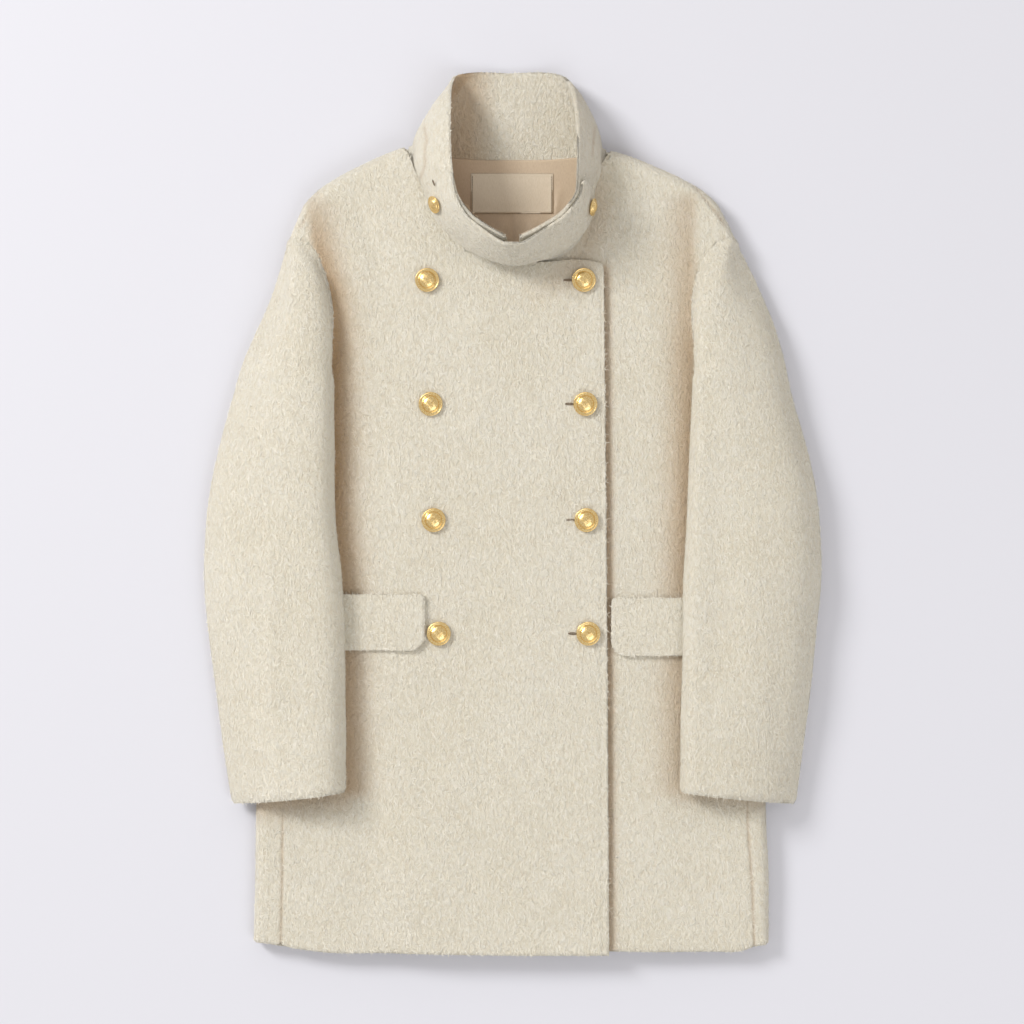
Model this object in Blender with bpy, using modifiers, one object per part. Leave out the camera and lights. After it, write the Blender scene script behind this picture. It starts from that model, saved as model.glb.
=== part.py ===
"""Double-breasted wool coat with a stand collar, laid flat on its back.

The coat lies on a flat surface at z = 0 with its front up: +Y runs from the
hem to the collar, and +X points to the viewer's right.  "Right" and "left" in
the names are the wearer's, so the right front and sleeve are at -X.

Sizes below are millimetres and become metres where the meshes are made.
"""

import math

import bmesh
import bpy
import numpy as np
from mathutils import Vector

MM = 0.001

# ---------------------------------------------------------------- sizes, mm
CLOTH = 4.0            # lined boucle wool, one layer
SEAM_GAP = 0.35        # between pieces that meet at a seam
SEAM_EASE = 0.30       # more on each side of a seam that lies on a fold
LAYER_GAP = 0.5        # between layers that lie on each other
CROWN = 3.0            # the fronts rise this much at the middle
LINING = 1.2
LABEL = 0.8
FLAP = 4.0
TAB = 3.6

UNDER_EDGE_X = -86.0   # hidden edge of the left front, under the right one
LAP_RAMP = (-155.0, -91.0)   # where the right front climbs onto the left one

BUTTON_RADIUS = 12.0
BUTTON_HEIGHT = 7.0
TAB_BUTTON_SCALE = 0.74

UNDERARM_Y = 121.0

# The body as it lies: its two side folds and its height.
TORSO = {
    "y":      (-443, -370, -300, -200, -100, 0, 60, 121, 200, 300, 370),
    "right":  (-260, -258, -257, -253, -249, -245, -243, -240, -240, -240, -240),
    "left":   (257, 257, 254, 253, 251, 249, 246, 243, 243, 243, 243),
    "height": (19, 21, 23, 25, 26, 27, 27, 26, 25, 24, 24),
}

# How far each side seam lies from the body's side, measured along the cloth
# from the fold's middle (0) up onto the front.
SIDE_SEAM = {
    "y":     (-443, -290, -100, 121),
    "right": (33, 34, 14, 0),
    "left":  (20, 26, 12, 0),
}

# The front and back pieces' edges, flattened out.  The armholes are cut
# deeper into the fronts than into the back, and their tops cross the fold.
ARMHOLES = {
    ("right", 1): ((-236, 123), (-219, 127), (-202, 134), (-188, 149), (-181, 175),
                   (-182, 205), (-188, 235), (-196, 258), (-203, 271)),
    ("left", 1): ((238, 123), (221, 127), (203, 134), (189, 149), (182, 175),
                  (181, 205), (185, 235), (194, 258), (203, 271)),
    ("right", -1): ((-236, 138), (-222, 165), (-213, 205), (-208, 245), (-203, 271)),
    ("left", -1): ((238, 138), (224, 165), (215, 205), (209, 245), (203, 271)),
}
RIGHT_SHOULDER = ((-224, 273), (-109.5, 367))
LEFT_SHOULDER = ((224, 273), (99.5, 364))
SHOULDER_CURVE = {     # how far the shoulders bow out between their ends
    "y":   (0, .13, .26, .37, .50, .78, 1),
    "bow": (0, 10.5, 19.0, 20.5, 18.5, 9.5, 0),
}
BACK_NECK = ((-109.5, 367), (-76, 360), (-40, 356.5), (0, 356),
             (38, 356.5), (70, 359), (99.5, 364))
RIGHT_NECK = ((-109.5, 367), (-101, 345), (-91, 320), (-79, 291),
              (-60, 269), (-30, 255), (2.5, 249))
LEFT_NECK = ((99.5, 364), (90, 345), (82, 325), (77, 298),
             (62, 268), (34, 252), (2.5, 247))
RIGHT_LAP_TOP = ((2.5, 249), (30, 250), (82, 250.5), (89, 248), (91, 242))
RIGHT_EDGE = ((96.5, -442), (95, -200), (93.5, 0), (91, 242))
LEFT_LAP_TOP = ((2.5, 247), (-40, 247), (UNDER_EDGE_X, 246))
HEM = ((-262, -428), (-208, -436), (-116, -440), (5, -442), (96.5, -442),
       (168, -439), (222, -436), (258, -431))

# Sleeves, a row for each section across: outer fold, inner fold where the
# sleeve lies on the front, the ridge along its top, and its heights there
# and near the outer fold.
RIGHT_SLEEVE = {
    "y":       (275, 262, 240, 215, 184, 150, 118, 63, 0, -60, -110, -170,
                -230, -284.6),
    "outer":   (-224, -227.5, -234, -242, -255.5, -270.5, -279.5, -294.5, -306,
                -309, -305.5, -297.5, -289.5, -281),
    "inner":   (-203, -197.5, -190, -184, -180, -178, -177, -177, -176.5, -170,
                -167, -166, -165.5, -165),
    "ridge":   (-210, -213, -217, -220, -224, -228, -232, -238, -241, -242,
                -241, -239, -238, -236),
    "ridge_z": (25, 31, 41, 46, 48, 50, 51, 52, 52, 52, 51.5, 51, 50.5, 50),
    "outer_z": (22, 24, 27, 28, 29, 30, 30, 31, 31, 31, 30, 29, 28, 26),
}
LEFT_SLEEVE = {
    "y":       (275, 262, 240, 215, 184, 150, 118, 63, 0, -60, -110, -170,
                -230, -284.6),
    "outer":   (224, 229, 240, 251, 264, 273, 279.5, 295.5, 307, 309.5, 305,
                299, 291, 284),
    "inner":   (203, 195, 187, 182, 180.5, 178.5, 178, 176, 173.5, 170, 169,
                168.5, 167, 166),
    "ridge":   (210, 211, 210, 208, 206, 205, 205, 204, 203, 202, 201, 200,
                199, 198),
    "ridge_z": (25, 31, 41, 46, 48, 50, 51, 52, 52, 52, 51.5, 51, 50.5, 50),
    "outer_z": (22, 24, 27, 28, 30, 31, 32, 33, 33, 33, 32, 31, 29, 26),
}
SLEEVE_ON_BODY = {     # clearance under the sleeve, more over the pocket flap
    "y":   (312, 0, -45, -72, -148, -175, -285),
    "gap": (1.6, 1.6, 1.8, 6.1, 6.1, 1.8, 1.6),
}
CUFF_SLANT = 0.12      # the cuff's outer end is this much lower, per unit
CUFF_SLANT_FROM_Y = -60.0

# The collar, from its middle back (0) round to its front end (1): its base
# at the neck seam, its middle and its top edge.
COLLAR_T = (0, .15, .27, .37, .46, .58, .70, .80, .90, 1.0)
COLLAR_RIGHT = {
    "base": ((-2, 356.5, 0.3), (-42, 357.2, 0.3), (-76, 361, 0.6),
             (-101, 366, 6), (-100.5, 347, 24), (-90.5, 321, 27),
             (-77.5, 292, 28.5), (-57, 270, 29.5), (-28, 256, 31),
             (1, 250, 32)),
    "mid":  ((-2, 400, 0.6), (-38, 401, 1), (-70, 405, 7), (-89, 392, 26),
             (-88, 365, 46), (-81, 333, 54), (-70, 303, 57), (-50, 281, 59),
             (-26, 267, 60), (-3, 261, 60)),
    "top":  ((-3, 442, 3), (-32, 443, 5), (-57, 439, 16), (-62, 420, 42),
             (-62, 388, 60), (-61, 350, 73), (-56, 316, 80), (-42, 293, 83),
             (-25, 280, 84), (-8, 270, 84)),
}
COLLAR_LEFT = {
    "base": ((-2, 356.5, 0.3), (38, 357.2, 0.3), (68, 360, 0.6),
             (91, 363.5, 6), (88.5, 346, 24), (80.5, 325, 27),
             (75.5, 298, 28.5), (61, 269.5, 29.5), (33, 255, 30.5),
             (4, 252.5, 31)),
    "mid":  ((-2, 400, 0.6), (38, 401, 1), (64, 405, 7), (82, 392, 26),
             (82, 366, 46), (76, 335, 54), (73, 303, 57), (58, 281, 59),
             (32, 266, 60), (6, 260, 60)),
    "top":  ((-3, 442, 3), (27, 443, 5), (51, 439, 16), (60, 420, 42),
             (64, 388, 60), (66, 352, 73), (65, 320, 80), (50, 296, 83),
             (28, 281, 84), (8, 270, 84)),
}
COLLAR_INSIDE_NECK = 2.2      # the collar stands this far inside the fronts' edge
NECK_MIDDLE_Y = 310.0
TAB_ENDS = (0.60, 0.64)       # along the collar, right and left of the front
TAB_HEIGHTS = (0.24, 0.97)    # up the collar
TAB_BULGE = 5.0               # the tab's lower edge stands off at the front
TAB_CLEAR = 3.2               # more room over the collar's ends
TAB_BUTTON_AT = (0.685, 0.70)
TAB_BUTTON_HEIGHT = 0.50
TAB_BUTTON_GAP = 0.5          # under the middle of a button on the curved tab

FLAPS = {             # pocket flaps: x range, y range on the fronts
    "flap_right": ((-222.0, -87.0), (-137.0, -81.0)),
    "flap_left": ((98.5, 233.0), (-142.5, -84.5)),
}
FLAP_CORNER = 15.0

BUTTON_ROWS_Y = (232.0, 108.5, -7.0, -120.0)
BUTTON_X = {"button_right": (-85.0, -81.5, -78.5, -73.5),
            "button_left": (71.0, 72.5, 73.5, 75.5)}

LINING_EDGE_Y = 205.0

# How the body's pieces are divided: shares of each edge's length.
SIDE_ROWS = (0, .03, .10, .18, .26, .34, .42, .50, .58, .66, .74, .82, .90, .96, 1)
ARMHOLE_ROWS = (0, .09, .19, .32, .46, .60, .74, .87, 1)
TIP_ROWS = (0, .25, .5, .75, .97, 1)
TOP_PULL = 9           # how soon the top's shape fades inside a piece
SIDE_PULL = 4          # and its sides' shapes
FRONT_COLUMNS = (0, .03, .12, .22, .31, .40, .49, .57, .65, .73, .81, .87, .91,
                 .945, .975, .996, 1)
NECK_COLUMNS = (0, .035, .145, .265, .375, .475, .575, .675, .78, .89, 1)
SHOULDER_COLUMNS = (0, .25, .50, .72, .88, .985, 1)
SLEEVE_HEAD_ROWS = (259, 248, 236, 222, 205, 185, 168, 156, 147, 139, 132, 127, 123)
HEAD_GAP = 0.9
UNDER_STOPS = (0, .08, .16, .25, .55, .83, .93, 1)
BOTTOM_STOPS = (0, .18, .5, .78, .90, 1)
BACK_SHOULDER_COLUMNS = (0, .015, .07, .16, .28, .42, .60, .80, 1)
BACK_SHOULDER_COLUMNS_LEFT = tuple(1 - v for v in BACK_SHOULDER_COLUMNS[::-1])
BACK_COLUMNS = (0, .002, .014, .028, .042, .056, .070, .084, .10, .15, .22, .30, .38,
                .46, .54, .62, .70, .78, .85, .90, .916, .930, .944, .958, .972,
                .986, .998, 1)
LABEL_SIZE = (82.0, 40.0)
LABEL_AT = (-0.5, 321.0)


# --------------------------------------------------------------- scene setup
def clear_scene():
    for item in list(bpy.data.objects):
        bpy.data.objects.remove(item)


def material(name, colour, roughness, metallic=0.0):
    mat = bpy.data.materials.new(name)
    mat.use_nodes = True
    shader = mat.node_tree.nodes["Principled BSDF"]
    shader.inputs["Base Color"].default_value = (*colour, 1.0)
    shader.inputs["Roughness"].default_value = roughness
    shader.inputs["Metallic"].default_value = metallic
    return mat


# ------------------------------------------------------------- small helpers
def smooth_lookup(table, column, y):
    """Value of a table's column at y, on a curve with no overshoot."""
    ys = np.array(table["y"], float)
    vs = np.array(table[column], float)
    if ys[0] > ys[-1]:
        ys, vs = ys[::-1], vs[::-1]
    y = float(np.clip(y, ys[0], ys[-1]))
    slopes = np.diff(vs) / np.diff(ys)
    tangents = np.zeros(len(vs))
    tangents[0], tangents[-1] = slopes[0], slopes[-1]
    for k in range(1, len(vs) - 1):
        if slopes[k - 1] * slopes[k] > 0:
            tangents[k] = (2 * slopes[k - 1] * slopes[k]
                           / (slopes[k - 1] + slopes[k]))
    k = int(np.clip(np.searchsorted(ys, y) - 1, 0, len(ys) - 2))
    span = ys[k + 1] - ys[k]
    t = (y - ys[k]) / span
    return (vs[k] * (2 * t**3 - 3 * t**2 + 1)
            + span * tangents[k] * (t**3 - 2 * t**2 + t)
            + vs[k + 1] * (3 * t**2 - 2 * t**3)
            + span * tangents[k + 1] * (t**3 - t**2))


def smooth_step(low, high, value):
    t = min(max((value - low) / (high - low), 0.0), 1.0)
    return t * t * (3 - 2 * t)


def spread(points, stops):
    """Points along a smooth curve through the given ones: a number of them,
    evenly, or at the given shares of its length."""
    pts = np.array([tuple(p) for p in points], float)
    gaps = np.linalg.norm(np.diff(pts, axis=0), axis=1)
    slopes = np.diff(pts, axis=0) / gaps[:, None]
    tangents = np.empty_like(pts)
    tangents[0], tangents[-1] = slopes[0], slopes[-1]
    for k in range(1, len(pts) - 1):
        tangents[k] = ((slopes[k - 1] * gaps[k] + slopes[k] * gaps[k - 1])
                       / (gaps[k - 1] + gaps[k]))
    fine = []
    for k, gap in enumerate(gaps):
        for t in np.linspace(0, 1, 12, endpoint=False):
            fine.append(pts[k] * (2 * t**3 - 3 * t**2 + 1)
                        + gap * tangents[k] * (t**3 - 2 * t**2 + t)
                        + pts[k + 1] * (3 * t**2 - 2 * t**3)
                        + gap * tangents[k + 1] * (t**3 - t**2))
    fine.append(pts[-1])
    fine = np.array(fine)
    run = np.concatenate(([0], np.cumsum(np.linalg.norm(np.diff(fine, axis=0), axis=1))))
    if isinstance(stops, int):
        stops = np.linspace(0, 1, stops)
    at = np.array(stops) * run[-1]
    return np.stack([np.interp(at, run, fine[:, k]) for k in range(fine.shape[1])], 1)


def joined(*runs, stops):
    """Runs of points end to end, each spread with its own stops."""
    parts = [spread(run, at) for run, at in zip(runs, stops)]
    return np.concatenate([parts[0]] + [part[1:] for part in parts[1:]])


def shares(edge):
    """Share of the edge's length at each of its points."""
    steps = np.linalg.norm(np.diff(edge, axis=0), axis=1)
    run = np.concatenate(([0], np.cumsum(steps)))
    return run / run[-1]


def patch(start_edge, end_edge, low_edge, top_edge, both_sides=False):
    """Grid of flat points inside four edges; rows run from low to top.  Each
    edge's own shape fades inside the piece."""
    along, upward = shares(low_edge), shares(end_edge)

    def off_line(edge, share):
        return np.array([p - edge[0] * (1 - k) - edge[-1] * k for p, k in zip(edge, share)])

    start, end = off_line(start_edge, upward), off_line(end_edge, upward)
    low, top = off_line(low_edge, along), off_line(top_edge, along)
    grid = np.zeros((len(upward), len(along), 2))
    for j, v in enumerate(upward):
        for i, s in enumerate(along):
            flat = ((1 - v) * ((1 - s) * low_edge[0] + s * low_edge[-1])
                    + v * ((1 - s) * top_edge[0] + s * top_edge[-1]))
            pull = 1 + TOP_PULL * (max(s, 1 - s) if both_sides else s) ** 8
            grid[j, i] = (flat + (1 - s) ** SIDE_PULL * start[j] + s ** SIDE_PULL * end[j]
                          + (1 - v) ** pull * low[i] + v ** pull * top[i])
    return grid


# ------------------------------------------------------------ the body's form
def side_name(x):
    return "right" if x < 0 else "left"


def half_width(x, y):
    return abs(smooth_lookup(TORSO, side_name(x), y))


def body_height(y):
    return smooth_lookup(TORSO, "height", y)


def crown(x, y):
    flat = half_width(x, y) - body_height(y) / 2
    return CROWN * max(0.0, 1 - (x / flat) ** 2)


def past_shoulder(x, y):
    """How far (x, y) lies past the shoulder fold's start, and the way out."""
    line = RIGHT_SHOULDER if x < 0 else LEFT_SHOULDER
    tip, neck = np.array(line[0], float), np.array(line[-1], float)
    along = (neck - tip) / np.linalg.norm(neck - tip)
    outward = np.array((-along[1], along[0]))
    if outward[1] < 0:
        outward = -outward
    radius = body_height(y) / 2
    offset = np.array((x, y)) - tip
    share = float(np.dot(offset, along)) / np.linalg.norm(neck - tip)
    share = min(max(share, 0.0), 1.0)
    away = float(np.dot(offset, outward)) - smooth_lookup(SHOULDER_CURVE, "bow", share)
    return away + radius, outward, radius


def laid(x, y, layer, depth=0.0):
    """Place a flattened point on the body's front (+1) or back (-1) piece,
    this deep in its wall."""
    height = body_height(y)
    radius = height / 2
    flat = half_width(x, y) - radius
    sunk, out = depth, abs(x)
    if abs(x) > flat:
        angle = (abs(x) - flat) / radius
        if angle > math.pi:
            out = flat - (angle - math.pi) * radius
            sunk = height - depth
        else:
            out = flat + (radius - depth) * math.sin(angle)
            sunk = depth + (radius - depth) * (1 - math.cos(angle))
    px, py = math.copysign(out, x), y
    beyond, outward, bend = past_shoulder(px, py)
    if beyond > 0 and y > UNDERARM_Y:
        angle = min(beyond / bend, math.pi / 2)
        shift = (bend - depth) * math.sin(angle) - beyond
        px += outward[0] * shift
        py += outward[1] * shift
        sunk = max(sunk, depth + (bend - depth) * (1 - math.cos(angle)))
    if layer > 0:
        z = height - sunk + crown(px, y) * max(0.0, 1 - (sunk - depth) / (radius - depth))
    else:
        z = sunk + (crown(px, y) if sunk > radius * 1.4 else 0.0)
    return np.array((px, py, z))


def body_top(x, y):
    return laid(x, y, 1)[2]


def seam_reach(side, y, layer):
    """Flattened distance from the middle to the side seam."""
    sign = -1 if side == "right" else 1
    radius = body_height(y) / 2
    flat = half_width(sign, y) - radius
    up = smooth_lookup(SIDE_SEAM, side, y)
    quarter = math.pi / 2 * radius
    reach = flat + quarter - up if layer > 0 else flat + quarter + up
    return sign * (reach - SEAM_GAP / 2 - SEAM_EASE)


def over_shoulder(line, steps=9):
    """The shoulder's edge, halfway round its fold, from neck to sleeve."""
    moved = []
    for share in np.linspace(1, 0, steps):
        x, y = np.array(line[0]) * (1 - share) + np.array(line[-1]) * share
        beyond, outward, radius = past_shoulder(x, y)
        reach = math.pi / 2 * radius - beyond - SEAM_GAP / 2 - SEAM_EASE
        moved.append((x + outward[0] * reach, y + outward[1] * reach))
    return moved


def side_edge(side, layer, hem_y):
    """Hem to underarm up the side seam, then round the armhole to the tip."""
    low = [(seam_reach(side, y, layer), y)
           for y in np.linspace(hem_y, UNDERARM_Y - 1, 25)]
    holes = list(ARMHOLES[side, layer])
    line = RIGHT_SHOULDER if side == "right" else LEFT_SHOULDER
    return joined(low, [low[-1]] + holes, [holes[-1], over_shoulder(line)[-1]],
                  stops=(SIDE_ROWS, ARMHOLE_ROWS, TIP_ROWS))


# --------------------------------------------------------------- cloth pieces
def new_object(name, vertices, faces, mat, collection):
    mesh = bpy.data.meshes.new(name)
    mesh.from_pydata([Vector(v) * MM for v in vertices], [], faces)
    mesh.validate()
    mesh.materials.append(mat)
    mesh.shade_smooth()
    mesh.set_sharp_from_angle(angle=math.radians(50))
    item = bpy.data.objects.new(name, mesh)
    collection.objects.link(item)
    return item


def cloth_sheet(name, grid, thickness, mat, collection, flip=False):
    """A wall: the grid is its outer face, and Solidify gives the inner one."""
    rows, cols = grid.shape[:2]
    faces = []
    for j in range(rows - 1):
        for i in range(cols - 1):
            a, b = j * cols + i, j * cols + i + 1
            face = (a, b, b + cols, a + cols)
            faces.append(face[::-1] if flip else face)
    item = new_object(name, grid.reshape(-1, 3), faces, mat, collection)
    wall = item.modifiers.new("wall", "SOLIDIFY")
    wall.thickness = thickness * MM
    wall.offset = -1
    wall.use_even_offset = False
    wall.use_quality_normals = True
    return item


def cloth_wall(name, outer, inner, mat, collection, flip=False):
    """A wall between two grids, where it must keep its thickness in a fold."""
    rows, cols = outer.shape[:2]
    count = rows * cols
    faces = []
    for j in range(rows - 1):
        for i in range(cols - 1):
            a, b = j * cols + i, j * cols + i + 1
            face = (a, b, b + cols, a + cols)
            faces.append(face)
            faces.append(tuple(v + count for v in face[::-1]))
    rim = ([i for i in range(cols)] + [j * cols + cols - 1 for j in range(1, rows)]
           + [(rows - 1) * cols + i for i in range(cols - 2, -1, -1)]
           + [j * cols for j in range(rows - 2, 0, -1)])
    for a, b in zip(rim, rim[1:] + rim[:1]):
        faces.append((b, a, a + count, b + count))
    if flip:
        faces = [face[::-1] for face in faces]
    vertices = np.concatenate([outer.reshape(-1, 3), inner.reshape(-1, 3)])
    return new_object(name, vertices, faces, mat, collection)


def panel(name, grid, place, mat, collection, flip):
    outer = np.array([[place(x, y, 0.0) for x, y in row] for row in grid])
    inner = np.array([[place(x, y, CLOTH) for x, y in row] for row in grid])
    return cloth_wall(name, outer, inner, mat, collection, flip)


def front_surface(x, y, over, depth=0.0):
    point = laid(x, y, 1, depth)
    if over:
        lap = smooth_step(LAP_RAMP[0], LAP_RAMP[1], x)
        point[2] += (CLOTH + LAYER_GAP) * lap
    return point


def build_right_front(mat, collection):
    side = side_edge("right", 1, HEM[0][1])
    edge = spread(RIGHT_EDGE, shares(side))
    hem = spread([p for p in HEM if side[0][0] + 12 < p[0] <= 96.5][::-1]
                 + [tuple(side[0])], FRONT_COLUMNS)
    neck = list(RIGHT_LAP_TOP[::-1]) + list(RIGHT_NECK[::-1][1:])
    top = joined(neck, [neck[-1]] + over_shoulder(RIGHT_SHOULDER)[1:],
                 stops=(NECK_COLUMNS, SHOULDER_COLUMNS))
    top[0], top[-1] = edge[-1], side[-1]
    grid = patch(edge, side, hem, top)
    return panel("front_right", grid,
                 lambda x, y, depth: front_surface(x, y, True, depth),
                 mat, collection, flip=True)


def build_left_front(mat, collection):
    side = side_edge("left", 1, HEM[-1][1])
    edge = spread([(UNDER_EDGE_X, -438), (UNDER_EDGE_X, 0), LEFT_LAP_TOP[-1]],
                  shares(side))
    hem = spread([(UNDER_EDGE_X, -438), (5, -439), (96, -438.5)]
                 + [p for p in HEM if 100 < p[0] < side[0][0] - 12]
                 + [tuple(side[0])], FRONT_COLUMNS)
    neck = list(LEFT_LAP_TOP[::-1]) + list(LEFT_NECK[::-1][1:])
    top = joined(neck, [neck[-1]] + over_shoulder(LEFT_SHOULDER)[1:],
                 stops=(NECK_COLUMNS, SHOULDER_COLUMNS))
    top[0], top[-1] = edge[-1], side[-1]
    grid = patch(edge, side, hem, top)
    return panel("front_left", grid,
                 lambda x, y, depth: front_surface(x, y, False, depth),
                 mat, collection, flip=False)


def build_back(mat, collection):
    right = side_edge("right", -1, HEM[0][1])
    left = side_edge("left", -1, HEM[-1][1])
    hem = spread([right[0]] + [(x, y + 3) for x, y in HEM[1:-1]] + [left[0]],
                 BACK_COLUMNS)
    top = joined([right[-1]] + over_shoulder(RIGHT_SHOULDER)[1:-1][::-1] + [BACK_NECK[0]],
                 BACK_NECK,
                 [BACK_NECK[-1]] + over_shoulder(LEFT_SHOULDER)[1:-1] + [left[-1]],
                 stops=(BACK_SHOULDER_COLUMNS, 12, BACK_SHOULDER_COLUMNS_LEFT))
    grid = patch(right, left, hem, top, both_sides=True)
    return panel("back", grid, lambda x, y, depth: laid(x, y, -1, depth),
                 mat, collection, flip=True)


def armhole_at(edge, layer, y):
    """Where an armhole's edge lies on the body, across and up, at y."""
    reach = np.interp(y, [p[1] for p in edge], [p[0] for p in edge])
    place = laid(reach, y, layer)
    return abs(place[0]), place[2]


def sleeve_section(side, y, front_edge, back_edge):
    """Outer face across the sleeve at y, from the front armhole or underseam
    over its inner fold, its top and its outer fold, to the back."""
    sign = -1 if side == "right" else 1
    table = RIGHT_SLEEVE if side == "right" else LEFT_SLEEVE
    outer, inner, ridge = (abs(smooth_lookup(table, key, y))
                           for key in ("outer", "inner", "ridge"))
    ridge_z = smooth_lookup(table, "ridge_z", y)
    outer_z = smooth_lookup(table, "outer_z", y)
    rest = smooth_lookup(SLEEVE_ON_BODY, "gap", y)
    middle = body_height(y) / 2
    fold_x = half_width(sign, y) - middle
    wide = middle + rest + 0.4
    under = body_top(sign * (inner + 12), y) + rest
    fold = max(4.0, min(9.5, (ridge_z - under) / 2))
    outer_fold = (outer, outer_z * 0.48)
    if y > UNDERARM_Y:
        front = armhole_at(front_edge, 1, y)
        back = armhole_at(back_edge, -1, y)
        if front[0] > fold_x:
            low = math.degrees(math.acos(min(1, (front[0] - fold_x) / middle)))
            first = [(fold_x + (middle + clear) * math.cos(math.radians(turn)),
                      middle + (middle + clear) * math.sin(math.radians(turn)))
                     for turn, clear in ((low, 1.0), ((low + 85) / 2, rest), (85, rest + 0.4))]
            first += [(fold_x - 12, body_top(sign * (fold_x - 12), y) + rest)]
        else:
            first = [(front[0] + 0.6, front[1] + min(rest, 0.6 + 0.1 * (ridge_z - front[1])))]
        tucked = front[0] - inner > 13
        fold = min(fold, 0.55 * (front[0] - inner)) if tucked else fold
        if tucked:
            first += [(inner + fold + 1, under), (inner + 0.3 * fold, under + 0.3 * fold),
                      (inner, under + fold)]
        last = [outer_fold, (max(outer - 9, back[0] + 1.5), 0.9 + 0.1 * back[1]),
                (back[0] + 0.9, back[1])]
    else:
        tucked = True
        first = [(fold_x + wide * math.cos(turn), middle + wide * math.sin(turn))
                 for turn in np.radians((0, 30, 60, 85))]
        first += [(fold_x - 12, body_top(sign * (fold_x - 12), y) + rest),
                  (inner + fold + 3, under), (inner + 0.3 * fold, under + 0.3 * fold),
                  (inner, under + fold)]
        edge = fold_x + middle
        last = [outer_fold, (outer - 9, 0.9),
                (min(edge + 12, outer - 12), 0.0), (edge + 4.5, 2.8), first[0]]
    if tucked:
        near = first[-1]
        over = [near, (near[0] + 0.7 * fold, near[1] + 0.9 * (ridge_z - near[1])),
                (max(ridge, near[0] + fold + 2), ridge_z)]
    else:
        near = first[-1]
        lift = max(ridge_z - near[1], 0.2)
        stand = smooth_step(7, 19, lift)
        over = [near]
        if lift > 1:
            over += [(near[0] + 4.2 * (1 - stand) + (min(near[0], inner) - near[0]) * stand,
                      near[1] + 0.42 * lift),
                     (near[0] + 9 * (1 - stand) + (inner - near[0] + 0.6 * fold) * stand,
                      near[1] + 0.86 * lift)]
        over += [(max(ridge, over[-1][0] + 3), ridge_z)]
    over += [(max(outer - 14, (outer + over[-1][0]) / 2), outer_z), outer_fold]
    if tucked:
        flat = joined(first, over, last, stops=(UNDER_STOPS, 9, BOTTOM_STOPS))
    else:
        share = 0.22 + 0.25 * smooth_step(150, 250, y)
        stops = np.concatenate((np.linspace(0, share, len(UNDER_STOPS)),
                                np.linspace(share, 1, 9)[1:]))
        flat = joined(over, last, stops=(stops, BOTTOM_STOPS))
    flat[:, 1] = np.maximum(flat[:, 1], 0.0)
    return flat


def sleeve_head(side, like, further):
    """The sleeve's first rows: the body's edge where the armhole crosses the
    shoulder's fold, moved off it, its points spaced like another row's."""
    line = np.array(RIGHT_SHOULDER if side == "right" else LEFT_SHOULDER, float)
    down = (line[0] - line[1]) / np.linalg.norm(line[0] - line[1])
    path = []
    for layer in (1, -1):
        hole, below = (np.array(ARMHOLES[side, layer][k], float) for k in (-1, -2))
        end = np.array(over_shoulder(line)[-1])
        seam = (below - hole) / np.linalg.norm(below - hole)
        run = []
        for k in (.04, .20, .36, .52, .68, .84, 1):
            turn = smooth_step(0, 0.5, k)
            way = seam * (1 - turn) + down * turn
            run.append(laid(*(hole + (end - hole) * k), layer)
                       + np.array((*(down * HEAD_GAP + way * further), 0)))
        path += run[:-1] if layer > 0 else run[::-1]
    return spread(path, shares(like))


def build_sleeve(side, name, mat, collection):
    table = RIGHT_SLEEVE if side == "right" else LEFT_SLEEVE
    sign = -1 if side == "right" else 1
    hem_y = (HEM[0] if side == "right" else HEM[-1])[1]
    edges = [side_edge(side, layer, hem_y)[len(SIDE_ROWS) - 1:] for layer in (1, -1)]
    rows = []
    for y in SLEEVE_HEAD_ROWS + tuple(np.linspace(116, -284.6, 15)):
        slant = CUFF_SLANT * smooth_step(CUFF_SLANT_FROM_Y, -284.6, y)
        centre = (abs(smooth_lookup(table, "outer", y))
                  + abs(smooth_lookup(table, "inner", y))) / 2
        rows.append([(sign * u, y - slant * (u - centre), z)
                     for u, z in sleeve_section(side, y, *edges)])
    rows = [sleeve_head(side, np.array(rows[0]), further) for further in (0, 4.5)] + rows
    item = cloth_sheet(name, np.array(rows), CLOTH, mat, collection, flip=(side == "left"))
    shell = bmesh.new()
    shell.from_mesh(item.data)
    bmesh.ops.remove_doubles(shell, verts=shell.verts, dist=0.05 * MM)
    shell.to_mesh(item.data)
    shell.free()
    return item


# --------------------------------------------------------------- the collar
def collar_point(side, t, s):
    """Outer face of the collar: t from middle back to front end, s up it."""
    table = COLLAR_RIGHT if side == "right" else COLLAR_LEFT
    place = []
    for level in ("base", "mid", "top"):
        rows = table[level]
        place.append([smooth_lookup({"y": COLLAR_T, "v": [r[k] for r in rows]}, "v", t)
                      for k in range(3)])
    base, mid, top = (np.array(p) for p in place)
    to_middle = np.array((0, NECK_MIDDLE_Y)) - base[:2]
    inward = COLLAR_INSIDE_NECK * smooth_step(0.30, 0.42, t)
    base[:2] += to_middle / np.linalg.norm(to_middle) * inward
    return (base * (1 - s) * (1 - 2 * s) + mid * 4 * s * (1 - s)
            + top * s * (2 * s - 1))


def collar_normal(side, t, s):
    step = 0.01
    around = collar_point(side, t + step, s) - collar_point(side, t - step, s)
    upward = collar_point(side, t, s + step) - collar_point(side, t, s - step)
    normal = np.cross(upward, around) if side == "left" else np.cross(around, upward)
    return normal / np.linalg.norm(normal)


def build_collar(mat, collection):
    heights = np.linspace(0, 1, 6)
    steps = np.linspace(0, 1, 17)
    rows = []
    for s in heights:
        row = [collar_point("right", t, s) for t in steps[::-1]]
        row += [collar_point("left", t, s) for t in steps[1:]]
        rows.append(row)
    return cloth_sheet("collar", np.array(rows), CLOTH, mat, collection, flip=True)


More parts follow.
